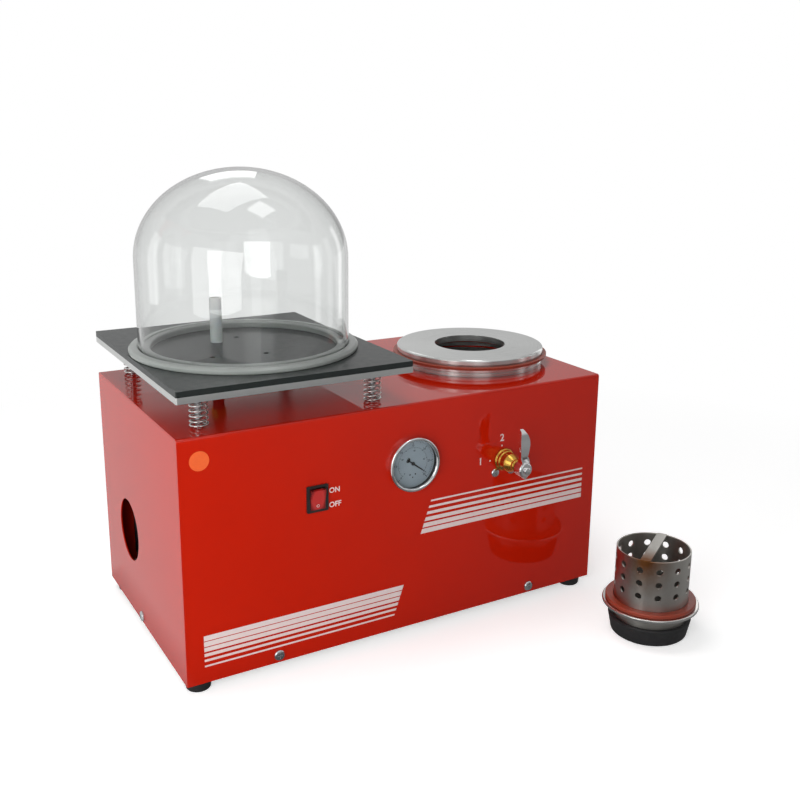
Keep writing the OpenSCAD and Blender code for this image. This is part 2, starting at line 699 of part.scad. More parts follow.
module jar_gasket() place() color([0.83, 0.85, 0.82]) translate([jar_x, jar_y, mat_top])
    rotate_extrude() polygon([[boot_in_r, 0], [boot_r - 1, 0], [boot_r, 1.2], [boot_r, boot_h - 3],
        [boot_r - 2.5, boot_h - 0.6], [jar_r + 1.5, boot_h], [jar_r + slip, boot_h - 0.8],
        [jar_r + slip, boot_floor], [jar_r - jar_wall - slip, boot_floor],
        [jar_r - jar_wall - slip, boot_h - 0.8], [jar_r - jar_wall - 1.5, boot_h],
        [boot_in_r + 1.5, boot_h], [boot_in_r, boot_h - 1.5]]);

// ================= valve =================
valve_flange_t = 4;
valve_flange_rise = 32;
valve_body_w = 36;
valve_back = line_y + 16;
valve_front = sheet_t + valve_flange_t;
bonnet_neck_r = plug_r + 0.5;
port_bore = 4;
groove_half = 4;

module valve_body() place() color(brass) difference() {
    union() {
        translate([valve_x - valve_body_w / 2, valve_front - eps, valve_z - valve_body_w / 2])
            cube([valve_body_w, valve_back - valve_front, valve_body_w]);
        on_front(valve_x, valve_z - valve_screw_dz / 2) translate([0, 0, -valve_front])
            linear_extrude(valve_flange_t)
                round_rect(2 * valve_screw_dx + 14, valve_screw_dz + valve_flange_rise, 4);
    }
    on_front(valve_x, valve_z) {
        translate([0, 0, -valve_back + 3]) cylinder(r = plug_r + run_gap, h = valve_back);
        translate([0, 0, -valve_front]) cylinder(r = bonnet_neck_r + slip, h = 20);
    }
    for (a = [-90, 0, 90]) translate([valve_x, way_y, valve_z]) rotate([0, a, 0])
        cylinder(r = port_bore, h = 40);
    translate([valve_x, line_y, valve_z]) rotate([0, 180, 0]) cylinder(r = port_bore, h = 40);
    for (p = valve_screw_places) on_front(p.x, p.y)
        translate([0, 0, -20]) cylinder(r = screw_r + slip, h = 20);
}

module valve_bonnet() place() color(brass) on_front(valve_x, valve_z) rotate_extrude() polygon([
    [stem_r + run_gap, -sheet_t - valve_flange_t], [bonnet_neck_r, -sheet_t - valve_flange_t],
    [bonnet_neck_r, 0], [bonnet_r, 0], [bonnet_r, 3.2], [bonnet_r - 1.4, 4.4], [bonnet_r - 1.4, 8],
    [bonnet_r - 2.6, 9],
    [bonnet_r - 2.2, 10], [bonnet_r - 2.4, 17], [bonnet_r - 4.4, 21], [stem_r + 2.8, 25],
    [stem_r + 2.8, 27.5], [stem_r + 1.2, 29], [stem_r + run_gap, 29]]);

// A groove round the plug keeps the pump port below open in every position. A drilling along
// the plug joins the groove to the side way, which meets the port that the lever points at.
module valve_plug() place() color(brass) difference() {
    on_front(valve_x, valve_z) {
        translate([0, 0, -valve_back]) rotate_extrude() polygon([
            [0, 3.5], [plug_r, 3.5], [plug_r, valve_back - line_y - groove_half],
            [plug_r - 2.5, valve_back - line_y - groove_half],
            [plug_r - 2.5, valve_back - line_y + groove_half],
            [plug_r, valve_back - line_y + groove_half], [plug_r, valve_back - valve_front - 0.5],
            [0, valve_back - valve_front - 0.5]]);
        translate([0, 0, -valve_back + 4]) cylinder(r = stem_r, h = valve_back - 4 + hub_out + hub_half);
    }
    translate([valve_x, way_y, valve_z]) cylinder(r = port_bore - 0.5, h = 40);
    translate([valve_x, way_y, valve_z]) rotate([-90, 0, 0])
        cylinder(r = port_bore - 0.5, h = line_y - way_y);
    translate([valve_x, line_y, valve_z]) cylinder(r = port_bore - 0.5, h = 2 * plug_r + 2, center = true);
}

module valve_screws() place() color(steel) for (p = valve_screw_places) on_front(p.x, p.y)
    pan_screw(valve_screw_head, 3, sheet_t + valve_flange_t);

hub_half = 7;
arm_steps = 14;
// side view of the arm's centreline: out from the panel, then hooked back at the tip
arm_a = [hub_out - 1, hub_r - 3];
arm_b = [hub_out + 1, 20];
arm_c = [hub_out + 6, 43];
arm_d = [hub_out - 7, 46.5];
// front view of its right half: a leaf that is widest above its middle
arm_leaf = [[0.33, 0], [0.34, 12], [0.42, 20], [0.5, 30], [0.48, 36], [0.38, 41.5], [0.22, 45.5], [0.1, 50]];
ear_t = 2;
ear_x = 4.6;
function bez(t) = pow(1 - t, 3) * arm_a + 3 * t * pow(1 - t, 2) * arm_b + 3 * t * t * (1 - t) * arm_c
    + t * t * t * arm_d;
function bez_normal(t) = let (d = unit(bez(min(t + 0.01, 1)) - bez(max(t - 0.01, 0)))) [-d.y, d.x];
function arm_side(t, s) = bez(t) + s * arm_t / 2 * bez_normal(t);

module valve_lever() place() color([0.86, 0.87, 0.88]) {
    difference() {
        union() {
            // hub with a small spur below
            on_front(valve_x, valve_z) translate([0, 0, hub_out - hub_half]) {
                rotate_extrude() polygon([[0, 0], [hub_r - 1.5, 0], [hub_r, 1.5], [hub_r, 2 * hub_half - 2.5],
                    [hub_r - 2.5, 2 * hub_half], [0, 2 * hub_half]]);
                translate([0, -hub_r - 2.2, 2]) rotate([0, 0, 45]) cube([6.2, 6.2, 2 * hub_half - 4]);
            }
            // arm: its side view and its front view cut from one another
            intersection() {
                translate([valve_x - arm_w, 0, valve_z]) rotate([90, 0, 90]) linear_extrude(2 * arm_w)
                    mirror([1, 0]) polygon(concat(
                        [for (i = [0 : arm_steps]) arm_side(i / arm_steps, 1)],
                        [for (i = [arm_steps : -1 : 0]) arm_side(i / arm_steps, -1)]));
                on_front(valve_x, valve_z) linear_extrude(hub_out + 30) {
                    polygon(concat([for (p = arm_leaf) [arm_w * p.x, p.y]],
                        [for (i = [len(arm_leaf) - 1 : -1 : 0]) [-arm_w * arm_leaf[i].x, arm_leaf[i].y]]));
                }
            }
            // ears on the hub that hold the arm's foot between them
            for (s = [-1, 1]) translate([valve_x + s * ear_x - ear_t / 2, 0, valve_z])
                rotate([90, 0, 90]) linear_extrude(ear_t) mirror([1, 0])
                    polygon([[hub_out - 5, 0], [hub_out - 4.5, 9], [hub_out - 2, 14.5],
                        [hub_out + 2.4, 14.5], [hub_out + 5, 10], [hub_out + 6, 0]]);
        }
        on_front(valve_x, valve_z) cylinder(r = stem_r + 0.02, h = hub_out + hub_half);
    }
    // cap nut that holds the hub on the stem
    on_front(valve_x, valve_z) translate([0, 0, hub_out + hub_half])
        rotate_extrude() polygon([[0, 0], [4.4, 0], [4.4, 1.8], [3.2, 3], [0, 3.4]]);
}

filter_h = 12;
module valve_fittings() place() color(brass) {
    for (a = [90, 180, 270]) translate([valve_x, a == 180 ? line_y : way_y, valve_z]) rotate([0, a, 0])
        translate([0, 0, valve_body_w / 2]) difference() {
            union() {
                hex(7.5, 5);
                translate([0, 0, 5 - eps]) nipple();
                translate([0, 0, -5]) cylinder(r = port_bore - slip, h = 6);
            }
            translate([0, 0, -6]) cylinder(r = nipple_bore, h = 40);
        }
    // filter on the release port
    translate([valve_x, way_y, valve_z + valve_body_w / 2]) {
        hex(7.5, 4);
        translate([0, 0, -5]) cylinder(r = port_bore - slip, h = 6);
        translate([0, 0, 4 - eps]) cylinder(r1 = 6.5, r2 = 5, h = filter_h);
    }
}
fitting_out = valve_body_w / 2 + 5;   // where a hose starts, from the valve's middle

// ================= gauge =================
glass_under = 4.4;                  // underside of the glass, below the bezel's edge
dial_y = 0.6;                       // dial's face, behind the panel's face
module gauge_case() place() color(dark) on_front(gauge_x, gauge_z) {
    difference() {
        translate([0, 0, -gauge_depth]) cylinder(r = gauge_r, h = gauge_depth + bezel_out - glass_under);
        translate([0, 0, -gauge_depth + 2]) cylinder(r = gauge_r - 1.2, h = gauge_depth + 10);
        translate([0, 0, -gauge_depth - 1]) cylinder(r = 5.2, h = 10);
    }
    // three pillars that the dial sits on
    for (a = [30 : 120 : 270]) rotate(a) translate([gauge_r - 4, 0, -gauge_depth + 2 - eps])
        cylinder(r = 2, h = gauge_depth - 3 - dial_y + eps);
}

// curved tube on its block, and the bearing that carries the pointer's arbor
module gauge_movement() place() color(brass) on_front(gauge_x, gauge_z) {
    tube_r = 2.4;
    ring = 17;
    z_tube = -gauge_depth + 13;
    z_block = -gauge_depth + 8.1;
    translate([-5, -5, z_block]) cube([10, 10, 6]);
    translate([0, -3, z_block]) cube([ring, 6, 6]);
    translate([0, 0, z_tube - 1.5]) rotate_extrude(angle = 270) translate([ring, 0]) circle(tube_r);
    translate([0, -ring, z_tube - 1.5]) rotate([0, 90, 0]) cylinder(r = 1.6, h = 3);
    translate([-1.6, -ring, z_tube - 1.5]) rotate([-30, 0, 0]) translate([0, 0, 0]) cube([1.2, 14, 1.2]);
    translate([0, 0, z_block + 6 - eps]) tube(3.4, arbor_r + run_gap, 5);
}
arbor_r = 1.15;

module gauge_bezel() place() color([0.86, 0.87, 0.88]) on_front(gauge_x, gauge_z) rotate_extrude() polygon([
    [gauge_r + slip, 0], [bezel_r - 0.6, 0], [bezel_r, 0.8], [bezel_r, bezel_out - 2],
    [bezel_r - 0.7, bezel_out - 0.6], [bezel_r - 2, bezel_out], [bezel_r - 3.6, bezel_out - 0.6],
    [bezel_r - 4.2, bezel_out - 2], [bezel_r - 4.2, bezel_out - 2.6], [gauge_r + slip, bezel_out - 2.6]]);

module gauge_dial() place() color([0.72, 0.78, 0.82]) on_front(gauge_x, gauge_z)
    translate([0, 0, -dial_y - 1]) tube(gauge_r - 1.3, arbor_r + run_gap, 1);

module gauge_glass() place() color([0.9, 0.93, 0.95, 0.3]) on_front(gauge_x, gauge_z)
    translate([0, 0, bezel_out - glass_under]) cylinder(r = gauge_r - 0.2, h = glass_under - 2.6);

// U-bracket that pulls the gauge's flange on to the panel
module gauge_clamp() place() color(steel) on_front(gauge_x, gauge_z) {
    strap_out = gauge_r + 5;
    strap_w = 22;
    strap_t = 2;
    translate([0, 0, -gauge_depth - strap_t]) difference() {
        linear_extrude(strap_t) slot(2 * strap_out + 6, strap_w);
        translate([0, 0, -1]) cylinder(r = 8, h = strap_t + 3);
    }
    for (s = [-1, 1]) translate([s * strap_out - strap_t / 2, -5, -gauge_depth - eps])
        cube([strap_t, 10, gauge_depth - sheet_t]);
}

pointer_angle = -37;                // zero of the scale, below the right side
module pointer() place() color([0.06, 0.06, 0.07]) on_front(gauge_x, gauge_z) {
    translate([0, 0, -dial_y + 0.5]) rotate(pointer_angle) linear_extrude(0.6) {
        polygon([[0, -1], [pointer_l * 0.6, -0.7], [pointer_l, -0.15], [pointer_l, 0.15],
            [pointer_l * 0.6, 0.7], [0, 1]]);
        translate([-5, 0]) square([10, 1.6], center = true);
        translate([-8.4, 0]) difference() {
            circle(2.8);
            translate([-1.9, 0]) circle(2.1);
        }
        circle(2.2);
    }
    translate([0, 0, -dial_y - 6]) cylinder(r = arbor_r, h = 7);
    translate([0, 0, -dial_y + 0.5]) cylinder(r = 1.9, h = 1.4);
}

// ================= switch =================
switch_body_w = switch_w - 4;
switch_body_h = switch_h - 3;
switch_bezel_h = 2.2;
switch_depth = 22;
rocker_w = switch_w - 8;
rocker_half = switch_h / 2 - 3.6;
pivot_in = 3;                       // rocker's pivot, behind the bezel's face
pivot_r = 1.5;

module switch_body() place() color(dark) on_front(switch_x, switch_z) difference() {
    union() {
        linear_extrude(switch_bezel_h) round_rect(switch_w, switch_h, 1.5);
        translate([0, 0, -switch_depth]) linear_extrude(switch_depth + eps)
            square([switch_body_w, switch_body_h], center = true);
        for (y = [-8, 0, 8]) translate([-3, y - 0.4, -switch_depth - 8]) cube([6, 0.8, 8.5]);
    }
    translate([0, 0, -10]) linear_extrude(20)
        square([rocker_w + 0.6, 2 * rocker_half + 1.6], center = true);
    translate([-switch_body_w / 2 + 1, 0, switch_bezel_h - pivot_in]) rotate([0, 90, 0])
        cylinder(r = pivot_r + run_gap, h = switch_body_w - 2);
}

// shallow V seen from the end; at rest its lower end is pressed in
module rocker() place() color([0.75, 0.06, 0.04]) on_front(switch_x, switch_z)
    translate([0, 0, switch_bezel_h - pivot_in]) rotate([rocker_angle / 2, 0, 0]) {
        rotate([90, 0, 90]) translate([0, 0, -rocker_w / 2]) linear_extrude(rocker_w) polygon([
            [-rocker_half, 5.4], [-rocker_half * 0.5, 4.4], [0, 4.1], [rocker_half * 0.5, 4.4],
            [rocker_half, 5.4], [rocker_half, 1.5], [rocker_half - 3.4, -4.5], [-rocker_half + 3.4, -4.5],
            [-rocker_half, 1.5]]);
        translate([-switch_body_w / 2 + 1.2, 0, 0]) rotate([0, 90, 0])
            cylinder(r = pivot_r, h = switch_body_w - 2.4);
    }

// ================= power inlet =================
inlet_body_w = 28;
inlet_body_h = 21;
inlet_depth = 22;
module power_inlet() place() color(dark) on_back(inlet_x, inlet_z) {
    difference() {
        union() {
            linear_extrude(2.4) round_rect(inlet_body_w + 4, inlet_body_h + 4, 2);
            translate([0, 0, -inlet_depth]) linear_extrude(inlet_depth + eps)
                square([inlet_body_w, inlet_body_h], center = true);
        }
        translate([0, 0, -inlet_depth + 6]) linear_extrude(30) difference() {
            square([24, 17], center = true);
            for (s = [-1, 1]) translate([s * 12, 8.5]) rotate(45) square(5, center = true);
        }
    }
    for (p = [[-7, 2], [0, -2], [7, 2]]) translate([p.x - 1, p.y - 2, -inlet_depth + 6 - eps])
        cube([2, 4, 12]);
}

// ================= pump =================
flange_x = case_x + case_l;         // pump flange, between the oil case and the motor
pump_flange_t = 12;
case_wall = 4;
stator_l = 46;
stator_r = 44;
stator_bore = 30;
rotor_off = 3.6;                    // the rotor sits this far above the bore's middle
rotor_r = stator_bore - rotor_off - 0.15;

module pump_case() place() color([0.16, 0.17, 0.18]) {
    difference() {
        translate([case_x, pump_y, pump_z]) rotate([90, 0, 90])
            linear_extrude(case_l) round_rect(case_w, case_h, 18);
        translate([case_x + case_wall, pump_y, pump_z]) rotate([90, 0, 90]) linear_extrude(case_l)
            round_rect(case_w - 2 * case_wall, case_h - 2 * case_wall, 14);
        translate([case_x - 5, pump_y, window_z]) rotate([0, 90, 0]) cylinder(r = window_r, h = 20);
        translate([case_x - 5, pump_y, drain_z]) rotate([0, 90, 0]) cylinder(r = 5, h = 20);
        translate([fill_x, pump_y, pump_z + case_h / 2 - 10]) cylinder(r = 8, h = 20);
    }
    // cooling ribs across the front of the case, above the window
    for (i = [0 : 3]) translate([case_x - 3, pump_y - case_w / 2 + 20, pump_z + 22 + i * 9])
        cube([3 + eps, case_w - 40, 3]);
}
window_z = pump_z - 14;
drain_z = pump_z - case_h / 2 + 14;
fill_x = case_x + case_l / 2;

module sight_glass() place() color([0.85, 0.75, 0.45, 0.5])
    translate([case_x - 2, pump_y, window_z]) rotate([0, 90, 0]) {
        cylinder(r = window_r - slip, h = 5);
        difference() {
            translate([0, 0, 1]) tube(window_r + 3, window_r - 1, 1);
            cylinder(r = window_r - 0.5, h = 5);
        }
    }

module pump_plugs() place() color(brass) {
    translate([case_x, pump_y, drain_z]) rotate([0, 90, 0]) {
        cylinder(r = 5 - slip, h = case_wall + 2);
        translate([0, 0, -5]) hex(7, 5 + eps);
    }
    translate([fill_x, pump_y, pump_z + case_h / 2]) {
        translate([0, 0, -case_wall - 2]) cylinder(r = 8 - slip, h = case_wall + 2 + eps);
        rotate_extrude() polygon([[0, 0], [13, 0], [13, 8], [10, 13], [0, 15]]);
    }
}

pad_h = 8;
pad_top = sheet_t + pad_h;
mount_foot_t = 5;
inlet_port_y = pump_y - motor_r - 3;
module foot_leg(x, w) difference() {
    translate([x - w / 2, pump_y - mount_foot_y - 10, pad_top])
        cube([w, 2 * mount_foot_y + 20, pump_z - pad_top - 20]);
    translate([x - w, pump_y - mount_foot_y + 12, pad_top - 1])
        cube([2 * w, 2 * mount_foot_y - 24, pump_z - pad_top - 44]);
    for (s = [-1, 1])
        translate([x - w, pump_y + s * (mount_foot_y + 1) - 9 - (s < 0 ? 2 : 0), pad_top + mount_foot_t])
        cube([2 * w, 20, pump_z]);
    for (s = [-1, 1]) translate([x, pump_y + s * mount_foot_y, 0]) cylinder(r = bolt_r + slip, h = 60);
}

module pump_flange() place() color(grey) difference() {
    union() {
        translate([flange_x, pump_y, pump_z]) rotate([90, 0, 90]) linear_extrude(pump_flange_t)
            round_rect(case_w, case_h, 18);
        foot_leg(flange_x + pump_flange_t / 2, pump_flange_t);
        translate([flange_x + pump_flange_t / 2, inlet_port_y, line_z]) rotate([90, 0, 0]) {
            translate([0, 0, -8]) cylinder(r = 6, h = 12);
            translate([0, 0, 4 - eps]) nipple();
        }
    }
    on_shaft(flange_x) translate([0, 0, -1]) cylinder(r = shaft_r + run_gap, h = pump_flange_t + 2);
    translate([flange_x + pump_flange_t / 2, inlet_port_y, line_z]) rotate([90, 0, 0])
        translate([0, 0, -20]) cylinder(r = nipple_bore, h = 60);
}

module pump_stator() place() color(grey) difference() {
    on_shaft(flange_x - stator_l) cylinder(r = stator_r, h = stator_l);
    translate([flange_x - stator_l + 6, pump_y, pump_z - rotor_off]) rotate([0, 90, 0])
        cylinder(r = stator_bore, h = stator_l);
}

module pump_rotor() place() color(steel) difference() {
    on_shaft(flange_x - stator_l + 7) cylinder(r = rotor_r, h = stator_l - 8);
    on_shaft(flange_x - stator_l + 6) translate([0, 0, -1]) cylinder(r = shaft_r + 0.02, h = stator_l + 2);
    // slots of the two vanes
    for (a = [0, 180]) on_shaft(flange_x - stator_l) rotate(a) translate([shaft_r + 4, -1.5, -1])
        cube([rotor_r, 3, stator_l + 2]);
}

// ================= motor =================
bell_l = 26;
frame_x = flange_x + pump_flange_t + bell_l;
core_r_in = 36;
rotor_gap = 0.6;
frame_wall = 4;
fin_n = 24;

module motor_frame() place() color([0.20, 0.21, 0.23]) difference() {
    union() {
        on_shaft(frame_x) {
            cylinder(r = motor_r - 4, h = motor_body_l);
            for (i = [0 : fin_n - 1]) rotate(i * 360 / fin_n)
                translate([motor_r - 6, -1, 4]) cube([6, 2, motor_body_l - 8]);
        }
        translate([frame_x + 8, pump_y - motor_r - 12, lead_end_z - 12]) cube([44, 40, 24]);
    }
    on_shaft(frame_x) translate([0, 0, -1]) cylinder(r = motor_r - 4 - frame_wall, h = motor_body_l + 2);
}
motor_body_l = motor_l - 2 * bell_l + 10;

module motor_core() place() color([0.55, 0.33, 0.16]) on_shaft(frame_x + 10) {
    tube(motor_r - 4 - frame_wall - slip, core_r_in, motor_body_l - 20);
    for (z = [-7, motor_body_l - 20 - eps]) translate([0, 0, z]) tube(motor_r - 12, core_r_in + 3, 7 + eps);
}

module bell() rotate_extrude() polygon([[shaft_r + run_gap, 0], [motor_r - 10, 0], [motor_r - 4, 6],
    [motor_r - 4, bell_l], [motor_r - 8, bell_l], [motor_r - 8, 9], [motor_r - 13, 5], [shaft_r + 7, 5],
    [shaft_r + 7, 12], [shaft_r + run_gap, 12]]);

module motor_end_bells() place() color([0.20, 0.21, 0.23]) {
    on_shaft(frame_x - bell_l) bell();
    difference() {
        union() {
            on_shaft(frame_x + motor_body_l + bell_l) mirror([0, 0, 1]) bell();
            foot_leg(mount_xs[1], 12);
        }
        on_shaft(frame_x) cylinder(r = motor_r - 8, h = motor_body_l + bell_l - 9);
        on_shaft(frame_x) cylinder(r = shaft_r + run_gap, h = 200);
    }
}

cowl_x = mount_xs[1] + 6.2;
bell_end = frame_x + motor_body_l + bell_l;
cowl_l = 38;
module fan_cowl() place() color([0.14, 0.14, 0.15]) on_shaft(cowl_x) difference() {
    rotate_extrude() polygon([[motor_r - 3.98, 0], [motor_r - 2, 0], [motor_r - 2, cowl_l - 4],
        [motor_r - 6, cowl_l], [0, cowl_l], [0, cowl_l - 2], [motor_r - 8, cowl_l - 2],
        [motor_r - 3.98, cowl_l - 6]]);
    for (i = [-4 : 4]) translate([0, i * 10, cowl_l - 5]) linear_extrude(10)
        slot(2 * sqrt(pow(motor_r - 12, 2) - pow(i * 10, 2)), 5);
}

module motor_rotor() place() color(steel) on_shaft(flange_x - stator_l + 7) {
    shaft_l = bell_end + 20 - (flange_x - stator_l + 7);
    cylinder(r = shaft_r, h = shaft_l);
    translate([0, 0, frame_x + 10 - (flange_x - stator_l + 7)])
        cylinder(r = core_r_in - rotor_gap, h = motor_body_l - 20);
}

fan_blades = 7;
fan_l = 14;
fan_hub_r = 14;
blade_t = 2;
module motor_fan() place() color([0.12, 0.12, 0.13]) on_shaft(bell_end + 4) difference() {
    union() {
        cylinder(r = fan_hub_r, h = fan_l);
        for (i = [0 : fan_blades - 1]) rotate(i * 360 / fan_blades)
            translate([fan_hub_r - 2, 0, fan_l / 2]) rotate([32, 0, 0])
                translate([0, -blade_t / 2, -fan_l / 2])
                cube([motor_r - fan_hub_r - 10, blade_t, fan_l]);
    }
    translate([0, 0, -1]) cylinder(r = shaft_r + 0.02, h = 20);
}

module mount_pads() place() color(dark) for (p = mount_places) translate([p.x, p.y, sheet_t])
    difference() {
        rotate_extrude() polygon([[bolt_r + slip, 0], [9, 0], [7.6, pad_h / 2], [9, pad_h],
            [bolt_r + slip, pad_h]]);
    }

capacitor_x = 190;
capacitor_y = 72;
capacitor_r = 17.5;
capacitor_l = 72;
module capacitor() place()
    translate([capacitor_x, capacitor_y, sheet_t + 1.5 + capacitor_r]) rotate([0, 90, 0]) {
    color([0.55, 0.56, 0.58]) rotate_extrude() polygon([[0, 0], [capacitor_r - 1, 0], [capacitor_r, 1],
        [capacitor_r, capacitor_l - 1], [capacitor_r - 1, capacitor_l], [0, capacitor_l]]);
    color(steel) translate([0, 0, capacitor_l / 2 - 8]) difference() {
        union() {
            tube(capacitor_r + 1.5, capacitor_r + 0.05, 16);
            translate([capacitor_r, -capacitor_r - 12, 0]) cube([1.5, 2 * capacitor_r + 24, 16]);
        }
        translate([0, 0, -1]) cylinder(r = capacitor_r + 0.05, h = 20);
    }
}

// ================= hoses and wiring =================
tee_half = 12;
elbow_drop = 20;                    // fitting under the housing's top, down to the table line
line_top_z = top_in - elbow_drop;
gauge_tail_z = gauge_z - 12;
under_can_z = can_floor_z - 18;

module hose_fittings() place() color(brass) {
    // tee in the pump line, under the gauge
    difference() {
        translate([gauge_x, line_y, line_z]) {
            rotate([0, 90, 0]) cylinder(r = 7, h = 2 * tee_half, center = true);
            cylinder(r = 7, h = tee_half);
            for (a = [90, -90, 0]) rotate([0, a, 0]) translate([0, 0, tee_half - eps]) nipple();
        }
        translate([gauge_x, line_y, line_z]) for (a = [90, -90, 0]) rotate([0, a, 0])
            cylinder(r = nipple_bore, h = 60);
    }
    // elbow on the back of the gauge, pointing down
    difference() {
        union() {
            on_front(gauge_x, gauge_z) translate([0, 0, -line_y])
                cylinder(r = 5, h = line_y - gauge_depth + 8);
            translate([gauge_x, line_y, gauge_z]) sphere(r = 8);
            translate([gauge_x, line_y, gauge_z]) rotate([180, 0, 0]) cylinder(r = 7, h = 12);
            translate([gauge_x, line_y, gauge_tail_z + eps]) rotate([180, 0, 0]) nipple();
        }
        translate([gauge_x, line_y, gauge_z]) rotate([180, 0, 0]) cylinder(r = nipple_bore, h = 60);
        on_front(gauge_x, gauge_z) translate([0, 0, -line_y]) cylinder(r = nipple_bore, h = 40);
    }
    // elbow under the chamber, pointing to the front
    difference() {
        union() {
            translate([port_x, chamber_y, under_can_z]) cylinder(r = 8, h = 18);
            translate([port_x, chamber_y, under_can_z]) cylinder(r = port_r, h = 18 + can_wall + 1);
            translate([port_x, chamber_y, under_can_z]) sphere(r = 8);
            translate([port_x, chamber_y, under_can_z]) rotate([90, 0, 0]) cylinder(r = 7, h = 12);
            translate([port_x, chamber_y - 12 + eps, under_can_z]) rotate([90, 0, 0]) nipple();
        }
        translate([port_x, chamber_y, under_can_z]) cylinder(r = nipple_bore, h = 60);
        translate([port_x, chamber_y, under_can_z]) rotate([90, 0, 0]) cylinder(r = nipple_bore, h = 60);
    }
    // bulkhead fitting in the housing's top: nipple up to the table, elbow down to its line
    difference() {
        union() {
            translate([pipe_x, pipe_y, box_h]) hex(10.5, link_flange_h);
            translate([pipe_x, pipe_y, box_h + link_flange_h - eps]) scale_nipple(link_l);
            translate([pipe_x, pipe_y, line_top_z])
                cylinder(r = standpipe_hole_r - slip, h = elbow_drop + sheet_t + eps);
            translate([pipe_x, pipe_y, top_in - 5]) hex(10.5, 5);
            translate([pipe_x, pipe_y, line_top_z]) sphere(r = 8);
            translate([pipe_x, pipe_y, line_top_z]) rotate([90, 0, 0]) cylinder(r = 7, h = 12);
            translate([pipe_x, pipe_y - 12 + eps, line_top_z]) rotate([90, 0, 0]) nipple();
        }
        translate([pipe_x, pipe_y, line_top_z]) cylinder(r = nipple_bore, h = 60);
        translate([pipe_x, pipe_y, line_top_z]) rotate([90, 0, 0]) cylinder(r = nipple_bore, h = 60);
    }
}

module pump_hoses() place() color(dark) {
    run([[valve_x, line_y, valve_z - fitting_out], [valve_x, line_y, line_z],
        [gauge_x + tee_half, line_y, line_z]],
        hose_r, hose_bore_r, hose_bend);
    run([[gauge_x - tee_half, line_y, line_z], [flange_x + pump_flange_t / 2, line_y, line_z],
        [flange_x + pump_flange_t / 2, inlet_port_y - 4, line_z]], hose_r, hose_bore_r, hose_bend);
    run([[gauge_x, line_y, line_z + tee_half], [gauge_x, line_y, gauge_tail_z]],
        hose_r, hose_bore_r, hose_bend);
}

module chamber_hose() place() color(dark)
    run([[valve_x + fitting_out, way_y, valve_z], [port_x, way_y, valve_z], [port_x, way_y, under_can_z],
        [port_x, chamber_y - 12, under_can_z]], hose_r, hose_bore_r, hose_bend);

line_corner_x = valve_x - fitting_out - 34;
line_back_y = line_y + 44;
module table_line() place() color(dark)
    run([[valve_x - fitting_out, way_y, valve_z], [line_corner_x, way_y, valve_z],
        [line_corner_x, way_y, line_top_z], [line_corner_x, line_back_y, line_top_z],
        [pipe_x, line_back_y, line_top_z], [pipe_x, pipe_y - 12, line_top_z]],
        hose_r, hose_bore_r, hose_bend);

lead_z = sheet_t + lead_r + 0.1;
lead_y = 18;
lead_bend = 10;
lead_end_z = pump_z - 31;
switch_under_z = switch_z - switch_body_h / 2;
motor_lead_x = frame_x + 42;
module wiring() place() color(dark) {
    // mains lead: inlet, along the pan's right side and front, up to the switch
    run([[inlet_x, box_d - inlet_depth, inlet_z], [inlet_x, box_d - inlet_depth - 16, inlet_z],
        [inlet_x, box_d - inlet_depth - 16, lead_z], [inlet_x, lead_y, lead_z],
        [switch_x - 6, lead_y, lead_z],
        [switch_x - 6, lead_y, switch_under_z]], lead_r, 0, lead_bend);
    // switch to motor
    run([[switch_x + 6, lead_y, switch_under_z], [switch_x + 6, lead_y, lead_end_z],
        [motor_lead_x, lead_y, lead_end_z],
        [motor_lead_x, pump_y - motor_r - 12, lead_end_z]], lead_r, 0, lead_bend);
}

// ================= flask set =================
perf_cols = 12;
perf_rows = 3;
perf_turn = -34;
lip_wall = 5.2;
collar_gap = 14.3;                              // collar that shows above the rubber base
flange_z = bench_z + base_h + collar_gap;       // underside of the flask's flange
seal_z = flange_z + flange_t;
flask_foot_z = seal_z + seal_t;
flask_top_z = flask_foot_z + flask_h;
can_bottom_z = flange_z - collar_h;
bar_angle = 33;
bar_t = 3;
bar_proud = 0.6;                                // it stands this far above the rim

module flask_can() {
    perforated_can();
    end_bar();
}

module perforated_can() place() color(steel) translate([flask_x, flask_y, 0]) difference() {
    translate([0, 0, can_bottom_z]) rotate_extrude() polygon([
        [flask_r - flask_wall, 0], [flask_r, 0], [flask_r, flask_top_z - can_bottom_z - 0.5],
        [flask_r - 0.5, flask_top_z - can_bottom_z], [flask_r - flask_wall + 0.5, flask_top_z - can_bottom_z],
        [flask_r - flask_wall, flask_top_z - can_bottom_z - 0.5]]);
    for (row = [0 : perf_rows - 1], col = [0 : perf_cols - 1])
        translate([0, 0, flask_top_z - perf_drop - row * perf_pitch])
            rotate([0, 90, perf_turn + col * 360 / perf_cols])
            translate([0, 0, flask_r - 6]) cylinder(r = perf_r, h = 12);
}

module flask_flange() place() color(steel) translate([flask_x, flask_y, flange_z])
    rotate_extrude() polygon([[flask_r + 0.02, 0], [flange_r - 0.8, 0], [flange_r, 0.8],
        [flange_r, flange_t - 0.8],
        [flange_r - 0.8, flange_t], [flask_r + 0.02, flange_t]]);

// bar welded across the can's open end
module end_bar() place() color(steel)
    translate([flask_x, flask_y, flask_top_z - bar_t + bar_proud]) intersection() {
        rotate(bar_angle) translate([-flask_r - 1, -bar_w / 2, 0]) cube([2 * flask_r + 2, bar_w, bar_t]);
        cylinder(r = flask_r - 0.2, h = bar_t);
    }

module flask_gasket() place() color(silicone) translate([flask_x, flask_y, seal_z])
    rotate_extrude() polygon([[flask_r + seat_gap, 0], [seal_r - 0.8, 0], [seal_r, 0.8],
        [seal_r, seal_t - 0.8],
        [seal_r - 0.8, seal_t], [flask_r + seat_gap, seal_t]]);

